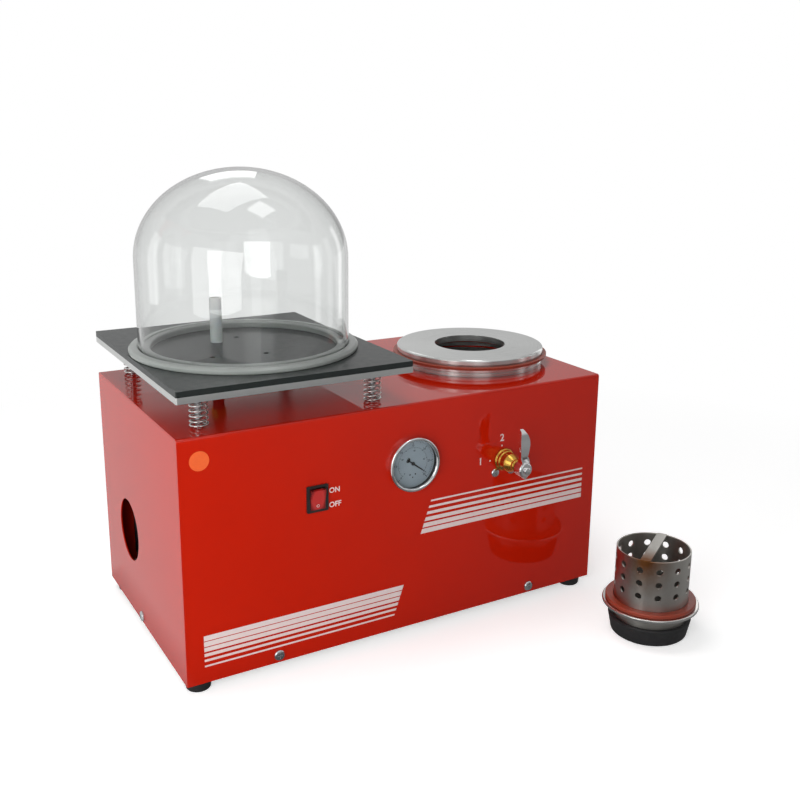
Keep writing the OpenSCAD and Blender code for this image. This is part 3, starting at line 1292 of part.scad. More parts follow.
module sprue_base() place() color(dark) translate([flask_x, flask_y, bench_z]) {
    floor_t = can_bottom_z - bench_z - seat_gap;
    rotate_extrude() polygon([[0, 0], [base_r - 1.2, 0], [base_r, 1.2], [base_lip_r, base_h - 1.5],
        [base_lip_r - 1, base_h], [flask_r + seat_gap, base_h], [flask_r + seat_gap, floor_t],
        [22, floor_t], [9, floor_t + 10], [5, floor_t + 14], [0, floor_t + 14]]);
}

cover();
left_end_panel();
right_end_panel();
base_pan();
feet();
foot_screws();
case_screws();
chamber_ring();
chamber_can();
inner_bolts();
hose_fittings();
valve_body();
valve_bonnet();
valve_screws();
valve_fittings();
gauge_case();
gauge_movement();
gauge_bezel();
gauge_dial();
gauge_glass();
gauge_clamp();
switch_body();
power_inlet();
pump_case();
sight_glass();
pump_plugs();
pump_flange();
pump_stator();
motor_frame();
motor_core();
motor_end_bells();
fan_cowl();
mount_pads();
capacitor();
pump_hoses();
chamber_hose();
table_line();
table_hose();
wiring();
table_springs();
table_plate();
table_mat();
table_bolts();
standpipe();
table_barb();
bell_jar();
jar_gasket();
motor_rotor();
motor_fan();
pump_rotor();
valve_plug();
valve_lever();
rocker();
pointer();
chamber_gasket();
adapter_plate();
flask_can();
flask_flange();
flask_gasket();
sprue_base();
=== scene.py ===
from math import cos, pi, radians, sin

import bmesh
import bpy
from mathutils import Matrix, Vector


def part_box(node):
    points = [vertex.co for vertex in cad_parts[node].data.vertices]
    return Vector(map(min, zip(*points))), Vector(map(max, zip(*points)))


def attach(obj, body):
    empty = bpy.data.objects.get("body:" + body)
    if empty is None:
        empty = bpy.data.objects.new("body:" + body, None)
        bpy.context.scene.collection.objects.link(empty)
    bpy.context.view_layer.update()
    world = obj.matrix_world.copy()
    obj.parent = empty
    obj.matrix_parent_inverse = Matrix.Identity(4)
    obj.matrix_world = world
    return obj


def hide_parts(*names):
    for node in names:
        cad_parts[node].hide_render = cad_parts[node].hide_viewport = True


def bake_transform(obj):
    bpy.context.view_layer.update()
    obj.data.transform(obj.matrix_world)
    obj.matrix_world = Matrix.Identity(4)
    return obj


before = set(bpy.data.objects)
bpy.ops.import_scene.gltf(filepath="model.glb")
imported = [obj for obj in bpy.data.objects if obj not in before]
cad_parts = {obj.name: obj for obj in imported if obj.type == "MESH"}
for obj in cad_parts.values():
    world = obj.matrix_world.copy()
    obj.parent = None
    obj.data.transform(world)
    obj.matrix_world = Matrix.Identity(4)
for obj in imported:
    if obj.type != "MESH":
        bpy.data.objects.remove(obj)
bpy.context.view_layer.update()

# ---------------------------------------------------------------------------------------
# The view and the studio. The camera stands where the photograph was taken from, and its
# small shift is the photograph's crop. A white floor and soft light surround the machine,
# and polished pieces mirror a dimmer room, so that the red panel stays deep.
MM = 0.001
housing_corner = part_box("cover")[0]               # its front left bottom corner


def at(x, y, z):
    """A place in metres, from millimetres right, back and up of the housing's corner."""
    return housing_corner + Vector((x, y, z)) * MM


PHOTO_SIZE = 800
FOCAL_PIXELS = 1013.22
CENTRE_PIXEL = (414.72, 362.41)
STANDPOINT = (-292.1, -950.7, 608.0)
AZIMUTH, DOWN, ROLL = radians(30.967), radians(14.220), radians(0.769)
SENSOR = 36.0
lens = bpy.data.cameras.new("camera")
lens.sensor_width = SENSOR
lens.lens = FOCAL_PIXELS * SENSOR / PHOTO_SIZE
lens.shift_x = (PHOTO_SIZE / 2 - CENTRE_PIXEL[0]) / PHOTO_SIZE
lens.shift_y = (CENTRE_PIXEL[1] - PHOTO_SIZE / 2) / PHOTO_SIZE
lens.clip_start = 0.01
camera = bpy.data.objects.new("camera", lens)
bpy.context.scene.collection.objects.link(camera)
forward = Vector((sin(AZIMUTH) * cos(DOWN), cos(AZIMUTH) * cos(DOWN), -sin(DOWN)))
level_right = Vector((cos(AZIMUTH), -sin(AZIMUTH), 0))
level_up = level_right.cross(forward)
right = level_right * cos(ROLL) + level_up * sin(ROLL)
up = level_up * cos(ROLL) - level_right * sin(ROLL)
aimed = Matrix((right, up, -forward)).transposed().to_4x4()
camera.matrix_world = Matrix.Translation(at(*STANDPOINT)) @ aimed
bpy.context.scene.camera = camera
bpy.context.scene.view_settings.view_transform = "Standard"


class Value:
    """A shader socket that can stand in a Python expression."""

    def __init__(self, finish, socket):
        self.finish, self.socket = finish, socket

    def math(self, operation, first, second=0.0):
        return self.finish.node("Math", {0: first, 1: second}, operation=operation)

    def __add__(self, other):
        return self.math("ADD", self, other)

    __radd__ = __add__

    def __sub__(self, other):
        return self.math("SUBTRACT", self, other)

    def __rsub__(self, other):
        return self.math("SUBTRACT", other, self)

    def __mul__(self, other):
        return self.math("MULTIPLY", self, other)

    __rmul__ = __mul__

    def __truediv__(self, other):
        return self.math("DIVIDE", self, other)

    def __pow__(self, other):
        return self.math("POWER", self, other)

    def least(self, other):
        return self.math("MINIMUM", self, other)

    def most(self, other):
        return self.math("MAXIMUM", self, other)

    def rise(self, start, end):
        """0 before start and 1 after end, with a straight rise between them."""
        return ((self - start) / (end - start)).most(0.0).least(1.0)


class Nodes:
    """A node tree that grows one node at a time."""

    def __init__(self, tree):
        self.tree = tree

    def node(self, kind, inputs=None, output=0, **settings):
        """Adds a shader node: its settings first, then the values or links of its sockets."""
        made = self.tree.nodes.new("ShaderNode" + kind)
        for name, value in settings.items():
            setattr(made, name, value)
        for key, value in (inputs or {}).items():
            if isinstance(value, Value):
                self.tree.links.new(value.socket, made.inputs[key])
            else:
                made.inputs[key].default_value = value
        return Value(self, made.outputs[output]) if made.outputs else None

    def outputs(self, kind, inputs=None):
        """Every output of one new node, by name."""
        made = self.node(kind, inputs).socket.node
        return {socket.name: Value(self, socket) for socket in made.outputs}


# The air is white to the camera, also through glass. The way towards it is an arrow of
# length 1, whose parts point to the right, back and up.
WHITE = (1, 1, 1, 1)
ROOM_IN_FRONT, ROOM_BEHIND = 0.24, 0.62           # what polished pieces mirror
RIGHT_CORNER_DIMMED = 0.55
AIR_LIGHT = 0.26                                  # what the air gives to matt pieces
world = bpy.data.worlds.new("studio")
world.use_nodes = True
air = Nodes(world.node_tree)
light_path = air.outputs("LightPath")
towards = air.outputs("SeparateXYZ", {0: air.node("TexCoord")})
right_corner = towards["X"].rise(0.50, 0.75)
behind = towards["Y"].rise(-0.15, 0.30) * (1 - RIGHT_CORNER_DIMMED * right_corner)
left = (-1 * towards["X"]).rise(0.35, 0.75)
overhead = towards["Z"].rise(0.45, 0.75)
room = behind.most(left).most(overhead) * (ROOM_BEHIND - ROOM_IN_FRONT) + ROOM_IN_FRONT
mirrored = light_path["Glossy Depth"].least(1.0)  # 1 once a path has met something shiny
spread = light_path["Diffuse Depth"].least(1.0)   # 1 once a path has met something matt
strength = (1 - spread) * (1 + mirrored * (room - 1)) + spread * AIR_LIGHT
backdrop = world.node_tree.nodes["Background"]
world.node_tree.links.new(strength.socket, backdrop.inputs["Strength"])
backdrop.inputs["Color"].default_value = WHITE
bpy.context.scene.world = world

# The floor holds the shadow near the machine and is plain white further out. Polished
# pieces mirror it dim in front of the machine and bright beside it, where the light falls.
FLOOR_SPAN = 24.0
FLOOR_TONE, FLOOR_LIFT = 0.90, 0.50
SHADOW_FROM, SHADOW_TO = 0.45, 1.2                # metres from the middle, where it fades
MIRRORED_LEFT, MIRRORED_RIGHT, MIRRORED_BESIDE = 0.09, 0.26, 0.70
bm = bmesh.new()
bmesh.ops.create_grid(bm, x_segments=1, y_segments=1, size=FLOOR_SPAN / 2)
floor_mesh = bpy.data.meshes.new("floor")
bm.to_mesh(floor_mesh)
bm.free()
floor = bpy.data.objects.new("floor", floor_mesh)
bpy.context.scene.collection.objects.link(floor)
floor_material = bpy.data.materials.new("studio_floor")
floor_material.use_nodes = True
floor_material.node_tree.nodes.clear()
ground = Nodes(floor_material.node_tree)
ray = ground.outputs("LightPath")
spot = ground.outputs("SeparateXYZ", {0: ground.node("TexCoord", output=3)})
distance = (spot["X"] ** 2 + spot["Y"] ** 2) ** 0.5
matt = ground.node("BsdfDiffuse", {0: (FLOOR_TONE, FLOOR_TONE, FLOOR_TONE, 1)})
lifted = ground.node("AddShader", {0: matt, 1: ground.node("Emission", {0: WHITE, 1: FLOOR_LIFT})})
white = ground.node("Emission", {0: WHITE, 1: 1.0})
shown = ground.node("MixShader", {0: distance.rise(SHADOW_FROM, SHADOW_TO), 1: lifted, 2: white})
beside = (-1 * spot["X"]).rise(0.27, 0.33).most(spot["Y"].rise(0.22, 0.30))
in_front = MIRRORED_LEFT + (MIRRORED_RIGHT - MIRRORED_LEFT) * spot["X"].rise(-0.1, 0.5)
dim = ground.node("Emission", {0: WHITE, 1: in_front.most(MIRRORED_BESIDE * beside)})
seen = ground.node("MixShader", {0: ray["Glossy Depth"].least(1.0), 1: shown, 2: dim})
met = ground.node("MixShader", {0: ray["Diffuse Depth"].least(1.0), 1: seen, 2: matt})
ground.node("OutputMaterial", {0: met})
floor_mesh.materials.append(floor_material)


def softbox(name, place, aim, width, height, watts, window=False):
    """A rectangular lamp, hidden from the camera, that gives light.

    A window gives none, and is only seen in what mirrors it.
    """
    lamp = bpy.data.lights.new(name, "AREA")
    lamp.shape, lamp.size, lamp.size_y, lamp.energy = "RECTANGLE", width, height, watts
    box = bpy.data.objects.new(name, lamp)
    bpy.context.scene.collection.objects.link(box)
    turn = (aim - place).to_track_quat("-Z", "Y").to_matrix().to_4x4()
    box.matrix_world = Matrix.Translation(place) @ turn
    box.visible_camera = False
    box.visible_diffuse, box.visible_glossy = not window, window


softbox("overhead", at(100, 500, 1900), at(250, 100, 300), 1.1, 0.8, 12)
softbox("key", at(-560, -720, 500), at(120, 0, 170), 0.7, 0.7, 8.4)
softbox("left_fill", at(-1000, 250, 500), at(0, 150, 140), 0.6, 0.6, 1.6)
jar_middle = at(134, 150, 430)
softbox("left_window", at(-775, -430, 540), jar_middle, 0.60, 0.72, 2.2, window=True)
softbox("front_window", at(130, -1016, 1035), at(130, 150, 1035), 0.54, 1.72, 1.8, window=True)
softbox("ceiling_pane", at(356, -124, 1530), jar_middle, 0.36, 0.32, 1.0, window=True)
softbox("back_window", at(380, 1000, 1150), jar_middle, 0.40, 0.34, 0.8, window=True)
for step, watts in enumerate((0.30, 0.16, 0.26)):
    beside_jar = at(1180, -420 + 400 * step, 450)
    softbox("right_window_%d" % step, beside_jar, jar_middle, 0.16, 0.62, watts, window=True)
softbox("far_left_window", at(-780, 800, 520), jar_middle, 0.30, 0.66, 0.45, window=True)

# ---------------------------------------------------------------------------------------
# The housing: one sheet of steel folded over front, top and back, with a flat end let into
# each side. It is sprayed and baked a hard glossy red. The sheets are the CAD's own; the
# paint has a faint orange peel and a little cloudiness.


class Finish(Nodes):
    """One material, made from the shader's own sockets and from what is fed to them."""

    def __init__(self, name, **sockets):
        self.material = bpy.data.materials.new(name)
        self.material.use_nodes = True
        super().__init__(self.material.node_tree)
        self.shader = self.tree.nodes["Principled BSDF"]
        for socket, value in sockets.items():
            plain = (*value, 1) if hasattr(value, "__len__") else value
            self.shader.inputs[socket.replace("_", " ")].default_value = plain

    def place(self):
        """Object coordinates, which are the machine's own metres."""
        return self.node("TexCoord", output=3)

    def from_point(self, centre):
        """The three distances to the right, back and up from a point."""
        away = self.node("VectorMath", {0: self.place(), 1: centre}, operation="SUBTRACT")
        parts = self.outputs("SeparateXYZ", {0: away})
        return parts["X"], parts["Y"], parts["Z"]

    def noise(self, lump, detail=2.0):
        """Soft noise whose lumps are about so many metres across."""
        scaled = self.node("Mapping", {0: self.place(), 3: (1 / lump, 1 / lump, 1 / lump)})
        return self.node("TexNoise", {"Vector": scaled, "Scale": 1.0, "Detail": detail})

    def streaks(self, along, width):
        """Fine lines at right angles to a distance, as a cutting tool leaves them."""
        return self.node("TexNoise", {"W": along / width, "Scale": 1.0, "Detail": 2.0},
                         noise_dimensions="1D")

    def mix(self, amount, first, second):
        """The first colour where amount is 0, and the second where it is 1."""
        colours = {key: colour if isinstance(colour, Value) else (*colour, 1)
                   for key, colour in ((6, first), (7, second))}
        return self.node("Mix", {0: amount, **colours}, output=2, data_type="RGBA")

    def feed(self, **sockets):
        for socket, value in sockets.items():
            self.tree.links.new(value.socket, self.shader.inputs[socket.replace("_", " ")])
        return self

    def cloud(self, lump, first, second, detail=2.0):
        """Lets the colour drift between two tones, in lumps of so many metres."""
        return self.feed(Base_Color=self.mix(self.noise(lump, detail), first, second))

    def wear(self, lump, smoothest, roughest, detail=2.0):
        """Lets the roughness drift between two values, in lumps of so many metres."""
        return self.feed(Roughness=self.noise(lump, detail) * (roughest - smoothest) + smoothest)

    def bump(self, height, depth):
        """Relief of about so many metres, from a height between 0 and 1."""
        relief = self.node("Bump", {"Strength": 1.0, "Distance": depth, "Height": height})
        return self.feed(Normal=relief)


def dress(finish, *nodes):
    """Gives CAD nodes that stay as they are their finish."""
    for node in nodes:
        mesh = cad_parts[node].data
        mesh.materials.clear()
        mesh.materials.append(finish.material)


paint = Finish("red_paint", Specular_IOR_Level=0.0, Coat_Weight=1.0, Coat_Roughness=0.03,
               Coat_IOR=1.5)
paint.cloud(0.12, (0.51, 0.012, 0.0010), (0.46, 0.010, 0.0010), 3.0).wear(0.03, 0.30, 0.38)
paint.bump(paint.noise(0.0035, 1.0), 0.000012)
dress(paint, "cover", "left_end_panel", "right_end_panel")


def shade(mesh, sharp, round_axis=None):
    """Smooth shading that keeps broad faces flat: big faces weigh more at a shared corner.

    Edges sharper than so many degrees stay crisp. Upright walls about round_axis, a place
    in metres, are shaded as the true cylinder.
    """
    limit = cos(radians(sharp))
    upright, on_cylinder = 0.02, 0.98             # limits for a face of a round wall
    meeting = [[] for _ in mesh.vertices]
    for face in mesh.polygons:
        for corner in face.vertices:
            meeting[corner].append(face)
    normals = []
    for face in mesh.polygons:
        for corner in face.vertices:
            normal = Vector()
            for other in meeting[corner]:
                if other.normal.dot(face.normal) > limit:
                    normal += other.normal * other.area
            if round_axis and abs(face.normal.z) < upright:
                away = mesh.vertices[corner].co - round_axis
                outwards = (away * Vector((1, 1, 0))).normalized()
                facing = outwards.dot(face.normal)
                if abs(facing) > on_cylinder:
                    normal = outwards * (1 if facing > 0 else -1)
            normals.append(normal.normalized() if normal.length else face.normal.copy())
    mesh.polygons.foreach_set("use_smooth", [True] * len(mesh.polygons))
    mesh.normals_split_custom_set(normals)


def place_piece(bm, name, finish, body, sharp=35, instead_of=(), round_axis=None):
    """Makes a finished piece of a bmesh that is in place, and lets it ride on a body."""
    mesh = bpy.data.meshes.new(name)
    bm.to_mesh(mesh)
    bm.free()
    shade(mesh, sharp, round_axis)
    mesh.materials.append(finish.material)
    piece = bpy.data.objects.new(name, mesh)
    bpy.context.scene.collection.objects.link(piece)
    if body:
        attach(piece, body)
    if instead_of:
        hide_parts(*instead_of)
    return piece


# The white marks on the front are screen printed: two groups of stripes that grow thinner,
# the words beside the switch, and a number and a dot for each of the valve's positions.
INK_OUT, INK_SPREAD = 0.05, 0.18
ink = Finish("white_ink", Roughness=0.35, Coat_Weight=0.4, Coat_Roughness=0.1)
ink.cloud(0.004, (0.78, 0.67, 0.65), (0.70, 0.59, 0.57))
marks = bmesh.new()


def printed(points):
    """A flat shape of ink on the front, from places right and up of the housing's corner."""
    marks.faces.new([marks.verts.new(at(x, -INK_OUT, z)) for x, z in points])


STRIPE_PITCH = 6.95
SLANT = 0.345                                     # run of a slanted end for each mm of height


def stripes(top, widths, ends):
    """A group of stripes, the highest first; ends gives the left and right end at a height."""
    for i, width in enumerate(widths):
        high = top - i * STRIPE_PITCH
        low = high - width
        (low_left, low_right), (high_left, high_right) = ends(low), ends(high)
        printed([(low_left, low), (low_right, low), (high_right, high), (high_left, high)])


stripes(55.6, [6.0, 5.8, 4.8, 3.7, 2.7, 2.0], lambda z: (20.3, 253.9 + (z - 16.8) * SLANT))
stripes(156.4, [2.0, 2.8, 3.6, 4.6, 5.3, 5.8], lambda z: (290.9 + (z - 119.3) * SLANT, 533.7))


def lettered(words, turn, cap_height, bold=0.0, centred=True):
    """A mesh of printed words, turned and moved into place. Capitals are 0.7 of the size."""
    curve = bpy.data.curves.new("words", "FONT")
    curve.body, curve.size, curve.offset = words, cap_height / 0.70, bold
    curve.resolution_u = 4
    curve.fill_mode = "FRONT"
    curve.align_x = "CENTER" if centred else "LEFT"
    sign = bpy.data.objects.new("words", curve)
    bpy.context.scene.collection.objects.link(sign)
    solved = sign.evaluated_get(bpy.context.evaluated_depsgraph_get())
    mesh = bpy.data.meshes.new_from_object(solved)
    bpy.data.objects.remove(sign)
    mesh.transform(turn @ Matrix.Scale(MM, 4))
    return mesh


def on_front(x, z, out=0.0):
    """The front's own axes: X to the right, Y up, and Z out of the panel, in metres."""
    return Matrix.Translation(at(x, -out, z)) @ Matrix.Rotation(pi / 2, 4, "X")


def dot(x, y, radius, sides=16):
    """The corners of a small printed dot."""
    angles = [2 * pi * i / sides for i in range(sides)]
    return [(x + radius * cos(a), y + radius * sin(a)) for a in angles]


WORD_CAPS, NUMBER_CAPS, DOT_R = 6.0, 9.0, 1.1
for words, x, z in (("ON", 169.9, 190.4), ("OFF", 169.9, 173.4)):
    marks.from_mesh(lettered(words, on_front(x, z, INK_OUT), WORD_CAPS, INK_SPREAD, centred=False))
for number, x, z in (("2", 404.0, 213.5), ("1", 373.0, 188.0), ("3", 441.5, 185.0)):
    marks.from_mesh(lettered(number, on_front(x, z, INK_OUT), NUMBER_CAPS, INK_SPREAD))
for x, z in ((404.0, 207.6), (387.0, 190.8), (427.0, 189.0)):
    printed(dot(x, z, DOT_R))
bmesh.ops.triangulate(marks, faces=[f for f in marks.faces if len(f.verts) > 4])
place_piece(marks, "printed_marks", ink, "machine")

# A plain round sticker of orange paper, left blank.
STICKER_X, STICKER_Z, STICKER_R, STICKER_T = 23.2, 253.1, 10.7, 0.12
paper = Finish("orange_paper", Coat_Weight=0.1, Coat_Roughness=0.3)
paper.cloud(0.002, (0.84, 0.125, 0.014), (0.74, 0.095, 0.011), 4.0).wear(0.001, 0.45, 0.55)
bm = bmesh.new()
bmesh.ops.create_cone(bm, cap_ends=True, segments=64, radius1=STICKER_R * MM,
                      radius2=(STICKER_R - 0.1) * MM, depth=STICKER_T * MM,
                      matrix=on_front(STICKER_X, STICKER_Z, 0.07))
place_piece(bm, "round_sticker", paper, "machine")

# ---------------------------------------------------------------------------------------
# Zinc plated pan head screws hold the case to its pan. The heads are cold formed, with a
# cross recess that the bit has polished.
zinc = Finish("zinc_plate", Metallic=1.0)
zinc.cloud(0.004, (0.74, 0.75, 0.76), (0.62, 0.63, 0.65)).wear(0.002, 0.16, 0.30)
SAME_PLACE = 1e-6                                 # metres between points that are one


def ease(bm, width, sharp=30, segments=2):
    """Rounds the edges that are sharper than so many degrees."""
    corners = [e for e in bm.edges
               if len(e.link_faces) == 2 and e.calc_face_angle() > radians(sharp)]
    bmesh.ops.bevel(bm, geom=corners, offset=width * MM, segments=segments, profile=0.5,
                    affect="EDGES", clamp_overlap=True, material=-1)
    return bm


def smoothed(node, finish, body, sharp=32, round_edges=0.0, round_axis=None):
    """A copy of a CAD node, merged so that its curves shade smoothly, with eased edges."""
    bm = bmesh.new()
    bm.from_mesh(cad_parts[node].data)
    bmesh.ops.remove_doubles(bm, verts=bm.verts, dist=SAME_PLACE)
    if round_edges:
        bmesh.ops.dissolve_limit(bm, angle_limit=radians(0.5), verts=bm.verts, edges=bm.edges)
        ease(bm, round_edges, sharp)
    return place_piece(bm, node + "_finished", finish, body, sharp, (node,), round_axis)


for screws in ("case_screws", "valve_screws", "foot_screws"):
    smoothed(screws, zinc, "machine")

# The feet are moulded rubber, matt, with a tone that drifts a little.
rubber = Finish("black_rubber", Specular_IOR_Level=0.4)
rubber.cloud(0.006, (0.010, 0.010, 0.011), (0.026, 0.026, 0.027), 4.0).wear(0.004, 0.50, 0.65)
rubber.bump(rubber.noise(0.0008, 3.0), 0.00003)
smoothed("feet", rubber, "machine")

# ---------------------------------------------------------------------------------------
# The rocker switch: a black moulded bezel clipped into the front, and a clear red rocker
# over a lamp. It is off: its lower end, which bears a ring, is pressed in.
plastic = Finish("black_plastic")
plastic.cloud(0.003, (0.012, 0.011, 0.011), (0.020, 0.019, 0.019)).wear(0.002, 0.30, 0.42)
plastic.bump(plastic.noise(0.0004, 1.0), 0.00001)
smoothed("switch_body", plastic, "machine", round_edges=0.4)
ROCKER_X, ROCKER_Z, ROCKER_HALF_W, ROCKER_HALF_H = 155.3, 187.2, 9.0, 12.0
ruby = Finish("red_rocker", Coat_Weight=0.9, Coat_Roughness=0.06, Subsurface_Weight=0.3)
across, _, height = ruby.from_point(at(ROCKER_X, 0, ROCKER_Z))
# Painted shade: the rocker's red darkens from its middle out to its edges, as light through clear
# plastic would.
edge_shade = (across / (ROCKER_HALF_W * MM)) ** 2 + 0.6 * (height / (ROCKER_HALF_H * MM)) ** 2
ruby.feed(Base_Color=ruby.mix(edge_shade.rise(0.55, 1.15), (0.46, 0.020, 0.018), (0.14, 0.004, 0.004)))
ruby.wear(0.002, 0.20, 0.30)
smoothed("rocker", ruby, "switch_rocker", round_edges=0.5)

# The ring is pad printed on the rocker's lower end, which slopes back from its middle.
ring_white = Finish("pad_printed_white", Roughness=0.4)
ring_white.cloud(0.001, (0.75, 0.68, 0.66), (0.62, 0.55, 0.53))
PIVOT_IN, TILT, END_SLOPE = 0.8, radians(10), radians(7.5)
RING_MARK_R, RING_MARK_OPEN, RING_BELOW, RING_OUT = 1.7, 0.74, 7.4, 4.80
rocker_face = on_front(ROCKER_X, ROCKER_Z, -PIVOT_IN) @ Matrix.Rotation(TILT, 4, "X")
ring_place = (rocker_face @ Matrix.Translation(Vector((0, -RING_BELOW, RING_OUT)) * MM)
              @ Matrix.Rotation(-END_SLOPE, 4, "X"))
bm = bmesh.new()
bmesh.ops.create_circle(bm, segments=40, radius=RING_MARK_R * MM)
outline = bmesh.ops.extrude_edge_only(bm, edges=bm.edges[:])["geom"]
bmesh.ops.scale(bm, vec=(RING_MARK_OPEN, RING_MARK_OPEN, 1),
                verts=[v for v in outline if isinstance(v, bmesh.types.BMVert)])
bmesh.ops.recalc_face_normals(bm, faces=bm.faces)
if bm.faces[0].normal.z < 0:
    bmesh.ops.reverse_faces(bm, faces=bm.faces)
bmesh.ops.transform(bm, verts=bm.verts, matrix=ring_place)
place_piece(bm, "rocker_ring", ring_white, "switch_rocker")

# ---------------------------------------------------------------------------------------
# The vacuum gauge: a steel case behind the panel with a chromed bezel, an enamelled dial
# with printed scales, a black pointer and a window. The dial reads in plain numbers.
chrome = Finish("chrome", Metallic=1.0)
chrome.cloud(0.01, (0.88, 0.88, 0.88), (0.80, 0.80, 0.81)).wear(0.004, 0.06, 0.11)


def turned(outline, place, steps=128, closed=True):
    """Turns an outline of (radius, height) in mm about its axis, as on a lathe."""
    bm = bmesh.new()
    points = [bm.verts.new((r * MM, 0, h * MM)) for r, h in outline]
    following = points[1:] + (points[:1] if closed else [])
    lines = [bm.edges.new(pair) for pair in zip(points, following)]
    bmesh.ops.spin(bm, geom=points + lines, axis=(0, 0, 1), angle=2 * pi, steps=steps,
                   use_merge=True)
    bmesh.ops.remove_doubles(bm, verts=bm.verts, dist=SAME_PLACE)
    bmesh.ops.recalc_face_normals(bm, faces=bm.faces)
    bmesh.ops.transform(bm, verts=bm.verts, matrix=place)
    return bm


GAUGE = on_front(277.6, 206.4)
BEZEL_R, BEZEL_OUT, GAUGE_R = 33.0, 8.0, 30.6
bezel_outline = [(GAUGE_R, 0), (BEZEL_R - 0.6, 0), (BEZEL_R, 0.8), (BEZEL_R, BEZEL_OUT - 2.4),
                 (BEZEL_R - 0.3, BEZEL_OUT - 1.3), (BEZEL_R - 1.0, BEZEL_OUT - 0.4),
                 (BEZEL_R - 2, BEZEL_OUT), (BEZEL_R - 3.1, BEZEL_OUT - 0.4),
                 (BEZEL_R - 3.9, BEZEL_OUT - 1.3), (BEZEL_R - 4.2, BEZEL_OUT - 2.2),
                 (BEZEL_R - 4.2, BEZEL_OUT - 2.6), (GAUGE_R, BEZEL_OUT - 2.6)]
place_piece(turned(bezel_outline, GAUGE), "gauge_bezel_polished", chrome, "machine", 50,
            ("gauge_bezel",))
enamel = Finish("dial_enamel", Roughness=0.4)
enamel.cloud(0.01, (0.42, 0.51, 0.57), (0.36, 0.45, 0.51))
dress(enamel, "gauge_dial")
dress(plastic, "gauge_case")
black = Finish("black_enamel")
black.cloud(0.004, (0.010, 0.010, 0.011), (0.018, 0.018, 0.019)).wear(0.003, 0.30, 0.40)
smoothed("pointer", black, "gauge_pointer")
window = Finish("window_glass", Base_Color=(1, 1, 1), IOR=1.45, Transmission_Weight=1.0)
window.wear(0.004, 0.0, 0.01)
dress(window, "gauge_glass")

# The dial carries two scales: 0 to 30 outside and 0 to 76 inside. Their angles are degrees
# clockwise from the low left start that both share.
DIAL_OUT = -0.55                                  # printed just in front of the dial's face
START, SWEEP = 225, 270
OUTER_R, OUTER_STEPS = 27.6, 60
INNER_R, INNER_STEPS = 20.0, 76
dial = bmesh.new()


def dial_mark(angle, inner, outer, width):
    """A printed line along a radius of the dial."""
    turn = (GAUGE @ Matrix.Translation((0, 0, DIAL_OUT * MM))
            @ Matrix.Rotation(radians(START - angle), 4, "Z"))
    half = width / 2
    dial.faces.new([dial.verts.new(turn @ (Vector((x, y, 0)) * MM))
                    for x, y in ((inner, -half), (outer, -half), (outer, half), (inner, half))])


def dial_numbers(numbers, spacing, radius, drop, cap_height, bold):
    """A scale's numbers, so many degrees apart; drop brings their middles onto the radius."""
    for step, number in enumerate(numbers):
        angle = radians(START - step * spacing)
        base = Vector((radius * cos(angle), radius * sin(angle) - drop, DIAL_OUT)) * MM
        dial.from_mesh(lettered(number, GAUGE @ Matrix.Translation(base), cap_height, bold))


for step in range(OUTER_STEPS + 1):
    tenth, fifth = step % 10 == 0, step % 5 == 0
    dial_mark(step * SWEEP / OUTER_STEPS, 24.0 if tenth else 25.2 if fifth else 26.0, OUTER_R,
              0.7 if tenth else 0.35)
for step in range(INNER_STEPS + 1):
    tenth = step % 10 == 0
    dial_mark(step * SWEEP / INNER_STEPS, 18.0 if tenth else 18.8, INNER_R, 0.5 if tenth else 0.3)
dial_numbers(("0", "5", "10", "15", "20", "25", "30"), SWEEP / 6, 21.9, 1.2, 2.6, 0.05)
dial_numbers(("0", "20", "40", "60"), SWEEP / 3.8, 15.4, 0.9, 2.0, 0.04)
for x, y, radius in ((-3.6, -13.4, 1.0), (3.6, -13.4, 1.0), (0, -17.0, 0.9)):
    dial.faces.new([dial.verts.new(GAUGE @ (Vector((*point, DIAL_OUT)) * MM))
                    for point in dot(x, y, radius)])
bmesh.ops.triangulate(dial, faces=[f for f in dial.faces if len(f.verts) > 4])
print_black = Finish("dial_print", Roughness=0.5)
print_black.cloud(0.002, (0.02, 0.02, 0.025), (0.05, 0.05, 0.06))
place_piece(dial, "dial_print", print_black, "machine")

# ---------------------------------------------------------------------------------------
# The three-way valve: its bonnet is turned from brass bar, and its lever is a chromed
# casting, a leaf-shaped arm whose foot is held between two ears on a domed hub.
VALVE_X, VALVE_Z = 406.5, 190.0
BONNET_R, NECK_R, STEM_BORE, NECK_IN = 14.0, 10.5, 4.05, 5.6
brass = Finish("turned_brass", Metallic=1.0)
_, depth, _ = brass.from_point(at(VALVE_X, 0, VALVE_Z))
brass.cloud(0.008, (0.78, 0.47, 0.10), (0.60, 0.33, 0.06), 3.0)
brass.feed(Roughness=brass.streaks(depth, 0.0004) * 0.14 + 0.14)
bonnet_outline = [(STEM_BORE, -NECK_IN), (NECK_R, -NECK_IN), (NECK_R, 0),
                  (BONNET_R, 0), (BONNET_R, 3.2), (BONNET_R - 1.4, 4.4), (BONNET_R - 1.4, 8),
                  (BONNET_R - 2.6, 9), (BONNET_R - 2.2, 10), (BONNET_R - 2.4, 17),
                  (BONNET_R - 4.4, 21), (STEM_BORE + 2.75, 25), (STEM_BORE + 2.75, 27.5),
                  (STEM_BORE + 1.15, 29), (STEM_BORE, 29)]
place_piece(ease(turned(bonnet_outline, on_front(VALVE_X, VALVE_Z), 96), 0.35, 20, 3),
            "valve_bonnet_turned", brass, "machine", 40, ("valve_bonnet",))
dress(brass, "valve_body", "valve_plug", "valve_fittings", "hose_fittings")
smoothed("valve_lever", chrome, "lever", 50, round_edges=1.2)

# ---------------------------------------------------------------------------------------
# The casting chamber: a grooved ring bolted to the top, a red silicone disc on it, and an
# adapter plate whose bore takes a flask. Ring and plate are turned from aluminium, so fine
# rings run round them.
CHAMBER = (450.0, 144.0)


def standing(x, y, z):
    """The axes of a piece that stands upright on a place."""
    return Matrix.Translation(at(x, y, z))


